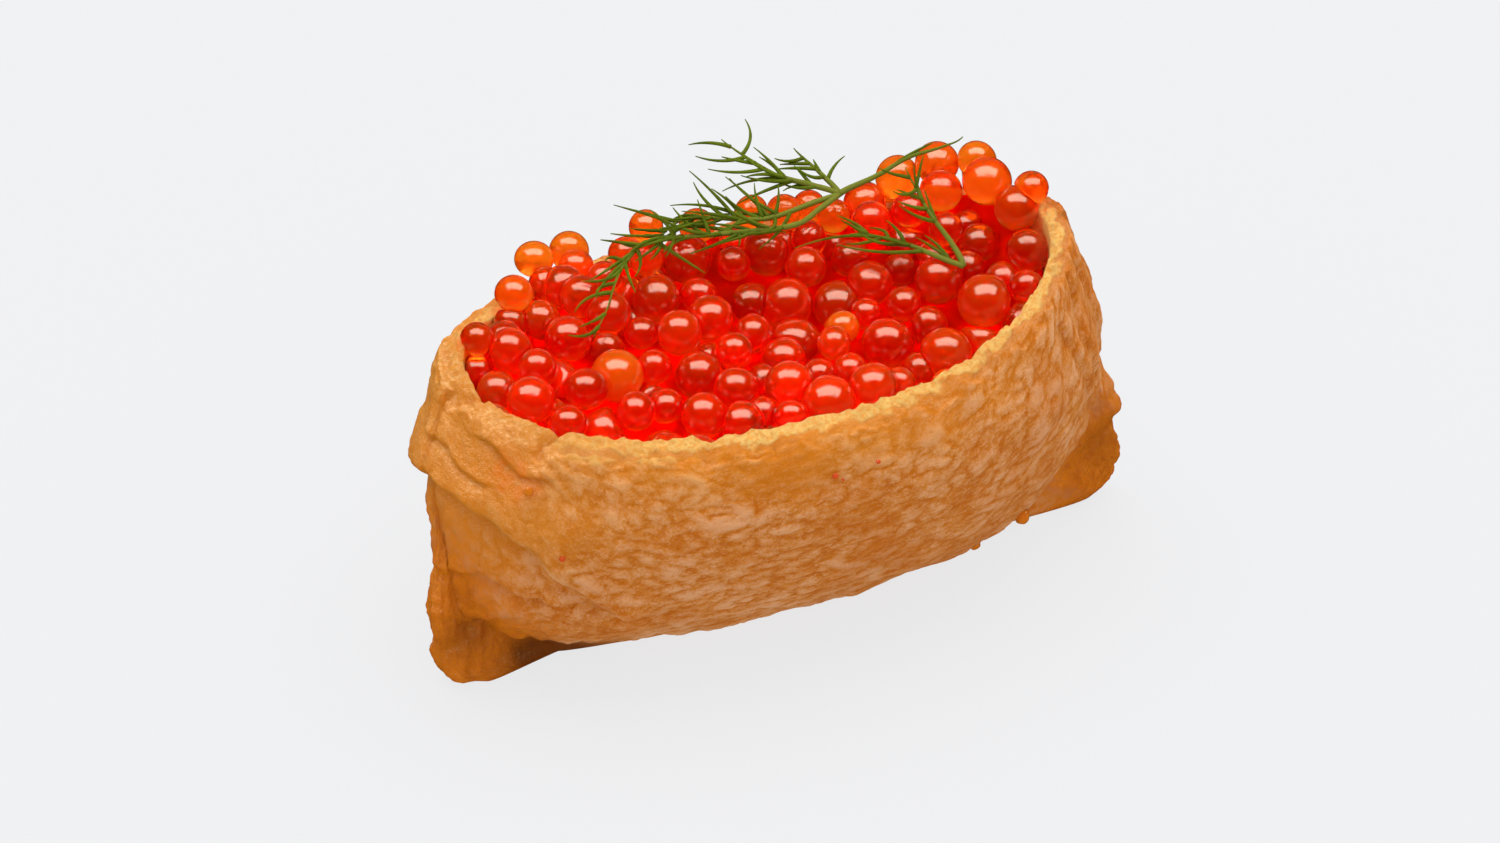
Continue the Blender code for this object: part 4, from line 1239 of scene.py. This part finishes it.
def seen_place(across, down, size):
    """An egg's place, radius and line of sight, and whether it rests on the rim."""
    forward, right, up = camera_axes()
    scale = CAMERA_LENS / SENSOR * IMAGE[0]
    eye = right * CAMERA_ASIDE + up * CAMERA_ABOVE - forward * CAMERA_DISTANCE
    ray = forward + right * ((across - IMAGE[0] / 2) / scale) - up * ((down - IMAGE[1] / 2) / scale)
    radius = min(max(size * CAMERA_DISTANCE / scale, SEEN_RADIUS[0]), SEEN_RADIUS[1])
    sunk = max(SUNK_BELOW - size, 0.0) * SUNK_SHARE - RAISED_EGGS.get((across, down), 0.0)
    best = None
    for step in range(SIGHT_STEPS):
        point = eye + ray * (CAMERA_DISTANCE - SIGHT_BEFORE + SIGHT_STEP * step)
        if abs(point.z - HEAP_MIDDLE) > HEAP_REACH:
            continue
        inside = wall_distance(point.x, point.y)
        if inside < -SEEN_OUTSIDE:
            continue
        rest = roe_top(point.x, point.y) - radius - sunk
        if inside < SEEN_INSET:
            if point.y < RIM_REST_FROM:
                continue
            rest = clear_of_rim(point.x, point.y, radius) - SEEN_SETTLED
        above = point.z - rest
        if best is None or above < best[0]:
            best = (above, point)
        if above <= 0.0:
            break
    if best is None:
        raise RuntimeError(f"no place in the heap for the egg at {across}, {down}")
    return best[1], radius, ray.normalized(), wall_distance(best[1].x, best[1].y) < SEEN_INSET


def settle_seen():
    """Slide the seen eggs along the lines of sight until they hardly run into each other."""
    eggs = [[*seen_place(across, down, size), tint] for across, down, size, tint in SEEN_EGGS]
    order = sorted(range(len(eggs)), key=lambda k: SEEN_EGGS[k][1])
    slid = [0.0] * len(eggs)
    for _ in range(SEEN_PASSES):
        for place, i in enumerate(order):
            for j in order[place + 1:]:
                over = SEEN_CLOSENESS * (eggs[i][1] + eggs[j][1]) - (eggs[i][0] - eggs[j][0]).length
                if over <= 0.0:
                    continue
                most = 0.0 if eggs[i][3] else SEEN_BACK
                back = min(SEEN_BACK_SHARE * over, most - slid[i])
                forth = min(SEEN_FORTH_SHARE * over, SEEN_FORTH + slid[j])
                eggs[i][0] += eggs[i][2] * back
                eggs[j][0] -= eggs[j][2] * forth
                slid[i] += back
                slid[j] -= forth
    return [(point, radius, tint) for point, radius, _, _, tint in eggs]


def pack_eggs():
    """A heap with the seen eggs in their places and the lowest free places filled with more."""
    heap = EggHeap()
    for point, radius, tint in settle_seen():
        heap.add(point.x, point.y, point.z, radius, tint)
    draw = random.Random(EGG_SEED)
    shade = random.Random(EGG_SEED + 1)
    reach_x = BELLY_LEFT[-1] - WALL_LEFT
    reach_y = OPENING_HALF_WIDTH + FAR_SIDE_EXTRA
    misses = 0
    while misses < EGG_MISSES:
        radius = draw.triangular(*EGG_RADIUS)
        best = None
        for _ in range(EGG_TRIES):
            x, y = draw.uniform(-reach_x, reach_x), draw.uniform(-reach_y, reach_y)
            z = heap.resting_height(x, y, radius)
            if z is not None and (best is None or z + radius - roe_top(x, y) < best[0]):
                best = (z + radius - roe_top(x, y), x, y, z)
        proud, x, y, z = best
        step = EGG_STEP
        for _ in range(EGG_SETTLE_STEPS):
            new_x, new_y = x + draw.uniform(-step, step), y + draw.uniform(-step, step)
            new_z = heap.resting_height(new_x, new_y, radius)
            if new_z is not None and new_z + radius - roe_top(new_x, new_y) < proud:
                proud, x, y, z = new_z + radius - roe_top(new_x, new_y), new_x, new_y, new_z
            step *= EGG_STEP_SHRINK
        if proud > EGG_HIGHEST:
            misses += 1
        else:
            heap.add(x, y, z, radius, shade.choice(EGG_TINTS))
    return heap


def egg_tree(material):
    """Geometry nodes that put an oval ball on each point, sized and turned by its values."""
    tree = bpy.data.node_groups.new("eggs_on_points", "GeometryNodeTree")
    sockets = tree.interface
    sockets.new_socket("Geometry", in_out="INPUT", socket_type="NodeSocketGeometry")
    fine = sockets.new_socket("Roundness", in_out="INPUT", socket_type="NodeSocketInt")
    fine.default_value = EGG_SUBDIVISIONS
    sockets.new_socket("Geometry", in_out="OUTPUT", socket_type="NodeSocketGeometry")
    nodes = tree.nodes
    start = nodes.new("NodeGroupInput")
    end = nodes.new("NodeGroupOutput")
    ball = nodes.new("GeometryNodeMeshIcoSphere")
    ball.inputs["Radius"].default_value = 1.0
    place = nodes.new("GeometryNodeInstanceOnPoints")
    values = {}
    for name, kind in (("size", "FLOAT_VECTOR"), ("spin", "FLOAT_VECTOR")):
        values[name] = nodes.new("GeometryNodeInputNamedAttribute")
        values[name].data_type = kind
        values[name].inputs["Name"].default_value = name
    real = nodes.new("GeometryNodeRealizeInstances")
    smooth = nodes.new("GeometryNodeSetShadeSmooth")
    paint = nodes.new("GeometryNodeSetMaterial")
    paint.inputs["Material"].default_value = material
    for source, output, target, socket in (
        (start, "Roundness", ball, "Subdivisions"),
        (start, "Geometry", place, "Points"),
        (ball, "Mesh", place, "Instance"),
        (values["size"], "Attribute", place, "Scale"),
        (values["spin"], "Attribute", place, "Rotation"),
        (place, "Instances", real, "Geometry"),
        (real, "Geometry", smooth, "Geometry"),
        (smooth, "Geometry", paint, "Geometry"),
        (paint, "Geometry", end, "Geometry"),
    ):
        tree.links.new(source.outputs[output], target.inputs[socket])
    return tree, fine.identifier


def grow_eggs(heap, material):
    """Run the egg tree on the heap's points and keep the result as a plain mesh."""
    draw = random.Random(EGG_SEED + 2)
    seeds = bpy.data.meshes.new("egg_places")
    seeds.from_pydata([(x * MM, y * MM, z * MM) for x, y, z, _, _ in heap.eggs], [], [])
    holder = add_object("egg_places", seeds)
    sizes, spins = [], []
    for radius in heap.shown_radii():
        sizes += [radius * MM * (1 + draw.uniform(-EGG_OVAL, EGG_OVAL)) for _ in range(3)]
        spins += [draw.uniform(0, 2 * math.pi) for _ in range(3)]
    store(holder, "size", sizes, "FLOAT_VECTOR")
    store(holder, "spin", spins, "FLOAT_VECTOR")
    store(holder, "number", range(len(heap.eggs)))
    store(holder, "tint", [egg[4] for egg in heap.eggs])
    tree, roundness = egg_tree(material)
    modifier = holder.modifiers.new("eggs", "NODES")
    modifier.node_group = tree
    modifier[roundness] = EGG_SUBDIVISIONS
    grown = holder.evaluated_get(bpy.context.evaluated_depsgraph_get())
    mesh = bpy.data.meshes.new_from_object(grown)
    eggs = add_object("trout_eggs", mesh)
    bpy.data.objects.remove(holder)
    if not mesh.materials:
        mesh.materials.append(material)
    return eggs


def press_together(eggs, heap):
    """Flatten each egg where it would run into its neighbours, as a soft heap does."""
    count = len(eggs.data.vertices)
    places = np.zeros(count * 3)
    eggs.data.vertices.foreach_get("co", places)
    places = places.reshape(-1, 3) / MM
    numbers = np.zeros(count)
    eggs.data.attributes["number"].data.foreach_get("value", numbers)
    numbers = np.rint(numbers).astype(int)
    centres = np.array([egg[:3] for egg in heap.eggs])
    radii = np.array(heap.shown_radii())
    for number in range(len(radii)):
        mine = np.where(numbers == number)[0]
        gaps = np.linalg.norm(centres - centres[number], axis=1)
        for other in np.where((gaps > 0) & (gaps < radii + radii[number] + EGG_PRESS_REACH))[0]:
            run = (centres[other] - centres[number]) / gaps[other]
            middle = (gaps[other] + (radii[number] ** 2 - radii[other] ** 2) / gaps[other]) / 2
            if number < len(SEEN_EGGS) <= other:
                middle = radii[number] + EGG_CONTACT_GAP
            elif other < len(SEEN_EGGS) <= number:
                middle = max(gaps[other] - radii[other], EGG_LEAST_MIDDLE)
            depth = (places[mine] - centres[number]) @ run - (middle - EGG_CONTACT_GAP)
            rounded = (depth + EGG_SOFTNESS) ** 2 / (4 * EGG_SOFTNESS)
            pushed = np.where(depth > -EGG_SOFTNESS, rounded, 0.0)
            pushed = np.where(depth > EGG_SOFTNESS, depth, pushed)
            places[mine] -= pushed[:, None] * run
    eggs.data.vertices.foreach_set("co", (places * MM).ravel())
    eggs.data.update()
    # Each point's height on its egg, for the material's painted light and shade.
    store(eggs, "level", (places[:, 2] - centres[numbers, 2]) / radii[numbers])


def juice_height(heap, x, y):
    """The juice between the eggs, which stands a little below their tops."""
    top = roe_top(x, y)
    total, weight = JUICE_BED_WEIGHT * (top - JUICE_BED_DROP), JUICE_BED_WEIGHT
    for egg_x, egg_y, egg_z, egg in heap.near(x, y):
        if egg_z + egg > roe_top(egg_x, egg_y) - JUICE_EGGS_WITHIN:
            share = math.exp(-((egg_x - x) ** 2 + (egg_y - y) ** 2) / JUICE_REACH**2)
            total += share * (egg_z + JUICE_RISE * egg)
            weight += share
    return min(total / weight, top - JUICE_BELOW_TOP)


def keep_out_of_pouch(eggs):
    """Hold the eggs inside the opening wherever they are below the rim."""
    for vertex in eggs.data.vertices:
        x, y, z = (c / MM for c in vertex.co)
        needed = OPENING_GAP - OPENING_EASE * max(z - rim_height(x) - OPENING_ABOVE, 0.0)
        inside = wall_distance(x, y) if needed > -OPENING_EASE else needed
        if inside < needed:
            pull = 1.0 - (needed - inside) / max(math.hypot(x, y), 1.0)
            vertex.co.x *= pull
            vertex.co.y *= pull
    eggs.data.update()


def build_core(settings, heap):
    """The roe's body below the eggs: its top is the juice that fills the gaps."""
    turns = [2 * math.pi * i / CORE_AROUND for i in range(CORE_AROUND)]
    rows = [bed_row(turns, BED_ROUND + GAP, BED_DEPTH - GAP)]
    rows.append(bed_row(turns, GAP, BED_DEPTH - BED_ROUND - GAP))
    edge = [bed_point(t, GAP) for t in turns]
    for k in range(CORE_RINGS):
        share = 1.0 - 0.98 * k / (CORE_RINGS - 1)
        rows.append([
            (x * share, y * share, juice_height(heap, x * share, y * share)) for x, y in edge
        ])
    points = [p for row in rows for p in row]
    faces = ring_faces(len(rows), CORE_AROUND)
    faces += strip_faces(0, CORE_AROUND, upwards=False)
    faces += strip_faces((len(rows) - 1) * CORE_AROUND, CORE_AROUND, upwards=True)
    core = new_piece("roe_core", points, faces, core_material(settings))
    register_piece(core, ["roe_heap"])


# ---------------------------------------------------------------- dill shape
def sprig_ground(x, y):
    """The top of the heap, level past the end of its rise."""
    return roe_top(x, min(y, RISE_FROM + RISE_RUN))


def clear_of_roe(heap, x, y, radius):
    """How high a stalk's centre has to lie above the eggs and the rim."""
    height = sprig_ground(x, y) - DILL_SINK + GAP + radius
    if abs(wall_distance(x, y)) < DILL_RIM_REACH:
        height = max(height, clear_of_rim(x, y, radius))
    for egg_x, egg_y, egg_z, egg in heap.near(x, y):
        reach = egg + DILL_ABOVE_EGG + radius
        inside = reach**2 - (egg_x - x) ** 2 - (egg_y - y) ** 2
        if inside > 0:
            height = max(height, egg_z + math.sqrt(inside))
    return height


def smooth_route(points, sample):
    """Points one sample apart on a smooth curve through the given ones."""
    route = []
    for i in range(len(points) - 1):
        before = points[max(i - 1, 0)]
        start, end = points[i], points[i + 1]
        after = points[min(i + 2, len(points) - 1)]
        steps = max(round((end - start).length / sample), 1)
        for k in range(steps):
            t = k / steps
            route.append(0.5 * (
                2 * start + (end - before) * t
                + (2 * before - 5 * start + 4 * end - after) * t**2
                + (3 * start - before - 3 * end + after) * t**3
            ))
    route.append(points[-1])
    return route


def drape(heap, route, radius, start_height):
    """Lift a route clear of the eggs, so that it bridges the dips between them."""
    need = [clear_of_roe(heap, point.x, point.y, radius) for point in route]
    lifted = [max(point.z, low) for point, low in zip(route, need)]
    lifted[0] = start_height
    for _ in range(DRAPE_PASSES):
        for i in range(1, len(lifted) - 1):
            bridged = (lifted[i - 1] + lifted[i + 1]) / 2
            lifted[i] = max(need[i], bridged)
    return [Vector((point.x, point.y, z)) for point, z in zip(route, lifted)]


def stand_on_heap(points):
    return [Vector((x, y, sprig_ground(x, y) + above)) for x, y, above in points]


def point_at(route, share):
    """The point that lies at a share of a route's length."""
    lengths = [(b - a).length for a, b in zip(route, route[1:])]
    left = share * sum(lengths)
    for a, b, length in zip(route, route[1:], lengths):
        if left <= length:
            return a.lerp(b, left / length)
        left -= length
    return route[-1].copy()


def needle_route(start, heading, length, rise, bow):
    turn = math.radians(heading)
    along = Vector((math.cos(turn), math.sin(turn), 0.0))
    aside = Vector((-along.y, along.x, 0.0))
    steps = max(round(length / DILL_SAMPLE), 4)
    route = []
    for k in range(steps + 1):
        t = k / steps
        point = start + along * (length * t) + aside * (4 * bow * t * (1 - t))
        point.z = start.z + rise * t**NEEDLE_LIFT
        route.append(point)
    return route


class Sprig:
    """Collects the tubes of one sprig as one mesh."""

    def __init__(self):
        self.points, self.faces, self.along = [], [], []

    def tube(self, route, start_radius, end_radius, stalk):
        base = len(self.points)
        last = len(route) - 1
        for i, centre in enumerate(route):
            run = (route[min(i + 1, last)] - route[max(i - 1, 0)]).normalized()
            side = run.cross(Vector((0.13, 0.29, 0.95))).normalized()
            up = side.cross(run)
            share = i / last
            radius = start_radius + (end_radius - start_radius) * share**DILL_TAPER
            radius *= 1.0 + DILL_WOBBLE * noise.noise(centre / DILL_WOBBLE_LENGTH)
            for k in range(DILL_SIDES):
                turn = 2 * math.pi * k / DILL_SIDES
                groove = 1.0 - DILL_GROOVE * math.cos(2 * turn)
                aside = side * math.cos(turn) + up * math.sin(turn) * DILL_FLATNESS
                self.points.append(centre + aside * radius * groove)
                self.along.append(stalk * (1.0 - STALK_GREENS * share))
        for i in range(last):
            for k in range(DILL_SIDES):
                j = (k + 1) % DILL_SIDES
                low, high = base + i * DILL_SIDES, base + (i + 1) * DILL_SIDES
                self.faces.append((low + k, low + j, high + j, high + k))
        self.faces.append(tuple(base + k for k in reversed(range(DILL_SIDES))))
        top = base + last * DILL_SIDES
        self.faces.append(tuple(top + k for k in range(DILL_SIDES)))


def fine_leaves(routes, leaves):
    """Seeded fine leaves on alternating sides of the stalks, listed like the needles."""
    draw = random.Random(LEAF_SEED)
    listed = []
    for label, start, end, count, length in leaves:
        route = routes[label]
        side = 1
        for i in range(count):
            share = start + (end - start) * (i + draw.uniform(*LEAF_PLACES)) / count
            ahead = point_at(route, min(share + LEAF_LOOK_AHEAD, 1.0))
            ahead -= point_at(route, share - LEAF_LOOK_AHEAD)
            heading = math.degrees(math.atan2(ahead.y, ahead.x))
            heading += side * draw.uniform(*LEAF_SPREAD)
            reach = length * draw.uniform(*LEAF_LENGTHS)
            rise = draw.uniform(*LEAF_RISES) * reach
            steepness = math.sin(math.radians(heading))
            tip = point_at(route, share).y + reach * steepness
            if tip > LEAF_REACH or abs(steepness) > LEAF_STEEPEST:
                heading -= side * LEAF_TURN_BACK
            listed.append((label, share, heading, reach, rise, draw.uniform(*LEAF_BOWS)))
            side = -side
    return listed


def build_sprig(name, node, heap, knot, stalks, needles, leaves, material):
    """Stalks that run from a knot over the eggs, with needles and fine leaves."""
    sprig = Sprig()
    knot = (knot[0], knot[1] + DILL_ASIDE, knot[2])
    stalks = {label: [(x, y + DILL_ASIDE, above) for x, y, above in points]
              for label, points in stalks.items()}
    knot_z = max(roe_top(knot[0], knot[1]) + knot[2],
                 clear_of_roe(heap, knot[0], knot[1], KNOT_RADIUS))
    routes = {}
    for label, points in stalks.items():
        route = smooth_route(stand_on_heap(points), DILL_SAMPLE)
        route = drape(heap, route, STALK_RADIUS, knot_z)
        routes[label] = route
        sprig.tube(route, STALK_RADIUS, TIP_RADIUS, 1.0)
    for label, share, heading, length, rise, bow in (*needles, *fine_leaves(routes, leaves)):
        start = point_at(routes[label], share)
        route = needle_route(start, heading, length, rise, bow)
        route = drape(heap, route, NEEDLE_RADIUS, start.z)
        sprig.tube(route, NEEDLE_RADIUS, TIP_RADIUS, NEEDLE_PALENESS)
    piece = new_piece(name, sprig.points, sprig.faces, material)
    store(piece, "along", sprig.along)
    register_piece(piece, [node])


# ---------------------------------------------------------------- operators
class INARI_OT_pouch(bpy.types.Operator):
    """Build the fried tofu pouch"""

    bl_idname = "inari.pouch"
    bl_label = "Tofu pouch"

    def execute(self, context):
        build_pouch(context.scene.inari_pouch)
        return {"FINISHED"}


class INARI_OT_roe(bpy.types.Operator):
    """Build the trout eggs and the roe below them"""

    bl_idname = "inari.roe"
    bl_label = "Trout roe"

    def execute(self, context):
        settings = context.scene.inari_roe
        heap = pack_eggs()
        build_core(settings, heap)
        eggs = grow_eggs(heap, egg_material(settings))
        press_together(eggs, heap)
        keep_out_of_pouch(eggs)
        register_piece(eggs, ["roe_heap"])
        return {"FINISHED"}


class INARI_OT_dill(bpy.types.Operator):
    """Build the two sprigs of dill"""

    bl_idname = "inari.dill"
    bl_label = "Dill"

    def execute(self, context):
        heap = pack_eggs()
        material = dill_material(context.scene.inari_dill)
        build_sprig("large_sprig", "dill_sprig_large", heap, LARGE_KNOT, LARGE_STALKS,
                    LARGE_NEEDLES, LARGE_LEAVES, material)
        build_sprig("small_sprig", "dill_sprig_small", heap, SMALL_KNOT, SMALL_STALKS,
                    SMALL_NEEDLES, SMALL_LEAVES, material)
        return {"FINISHED"}


class INARI_OT_stage(bpy.types.Operator):
    """Build the table, the lights and the camera"""

    bl_idname = "inari.stage"
    bl_label = "Stage"

    def execute(self, context):
        settings = context.scene.inari_stage
        build_floor(settings)
        build_lights(settings)
        build_camera()
        return {"FINISHED"}


def build_floor(settings):
    """A plain table that glows softly, as a brightly lit one does."""
    mesh = bpy.data.meshes.new("table")
    corners = [(x * TABLE_HALF, y * TABLE_HALF, 0) for x, y in ((-1, -1), (1, -1), (1, 1), (-1, 1))]
    mesh.from_pydata(corners, [], [(0, 1, 2, 3)])
    table = add_object("table", mesh)
    table.location.z = -TABLE_DROP
    mesh.materials.append(Wiring("pale_table").finish({
        "Base Color": settings.floor,
        "Roughness": 0.7,
        "Specular IOR Level": 0.0,
        "Emission Color": (0.985, 0.99, 1.0),
        "Emission Strength": settings.glow,
    }))
    table.visible_glossy = False


def area_light(name, place, aim, size, power, tint):
    """A flat light that faces its aim."""
    data = bpy.data.lights.new(name, "AREA")
    data.shape = "RECTANGLE"
    data.size, data.size_y = size
    data.energy = power
    data.color = tint
    light = add_object(name, data)
    light.location = place
    light.rotation_euler = (aim - place).to_track_quat("-Z", "Y").to_euler()
    return light


def camera_axes():
    """The camera's forward, right and up."""
    turn, rise = math.radians(CAMERA_TURN), math.radians(CAMERA_RISE)
    forward = Vector((-math.sin(turn) * math.cos(rise), math.cos(turn) * math.cos(rise),
                      -math.sin(rise)))
    right = Vector((math.cos(turn), math.sin(turn), 0.0))
    return forward, right, right.cross(forward)


def build_lights(settings):
    """Even light from all sides, and the soft lights above and behind the sushi."""
    world = bpy.data.worlds.new("even_light")
    bpy.context.scene.world = world
    world.use_nodes = True
    background = world.node_tree.nodes["Background"]
    background.inputs["Color"].default_value = (1.0, 0.99, 0.98, 1.0)
    background.inputs["Strength"].default_value = settings.fill
    world.cycles_visibility.glossy = False
    forward, right, _ = camera_axes()
    behind = Vector((forward.x, forward.y, 0.0)).normalized()
    turn = Matrix.Rotation(math.atan2(right.y, right.x), 3, "Z")
    facing_down = turn @ Matrix.Rotation(math.radians(SOFTBOX_TILT), 3, "X")
    aim = Vector(LIGHT_AIM)
    for name, (power, back, above, size, tint, hidden_from, level) in LIGHTS.items():
        place = aim + behind * back + Vector((0.0, 0.0, above))
        light = area_light(name, place, aim, size, getattr(settings, power), tint)
        for rays in hidden_from:
            setattr(light, f"visible_{rays}", False)
        if level:
            light.rotation_euler = facing_down.to_euler()


def build_camera():
    """The camera that sees the sushi as the picture does."""
    data = bpy.data.cameras.new("camera")
    data.lens = CAMERA_LENS
    data.sensor_width = SENSOR
    data.clip_start = 0.01
    camera = add_object("camera", data)
    forward, right, up = camera_axes()
    aim = right * CAMERA_ASIDE + up * CAMERA_ABOVE
    place = Matrix((right, up, -forward)).transposed().to_4x4()
    place.translation = (aim - forward * CAMERA_DISTANCE) * MM
    camera.matrix_world = place
    bpy.context.scene.camera = camera
    bpy.context.scene.view_settings.view_transform = "Standard"


class INARI_PT_panel(bpy.types.Panel):
    bl_label = "Inari sushi"
    bl_idname = "INARI_PT_panel"
    bl_space_type = "VIEW_3D"
    bl_region_type = "UI"
    bl_category = "Inari"

    def draw(self, context):
        for operator in OPERATORS:
            self.layout.operator(operator.bl_idname)


OPERATORS = (INARI_OT_pouch, INARI_OT_roe, INARI_OT_dill, INARI_OT_stage)
SETTINGS = {
    "inari_pouch": InariPouchSettings,
    "inari_roe": InariRoeSettings,
    "inari_dill": InariDillSettings,
    "inari_stage": InariStageSettings,
}


def register():
    for name, group in SETTINGS.items():
        bpy.utils.register_class(group)
        setattr(bpy.types.Scene, name, PointerProperty(type=group))
    for operator in OPERATORS:
        bpy.utils.register_class(operator)
    bpy.utils.register_class(INARI_PT_panel)


def unregister():
    bpy.utils.unregister_class(INARI_PT_panel)
    for operator in reversed(OPERATORS):
        bpy.utils.unregister_class(operator)
    for name, group in SETTINGS.items():
        delattr(bpy.types.Scene, name)
        bpy.utils.unregister_class(group)


def main():
    register()
    bpy.ops.inari.pouch()
    bpy.ops.inari.roe()
    bpy.ops.inari.dill()
    bpy.ops.inari.stage()


if __name__ == "__main__":
    main()
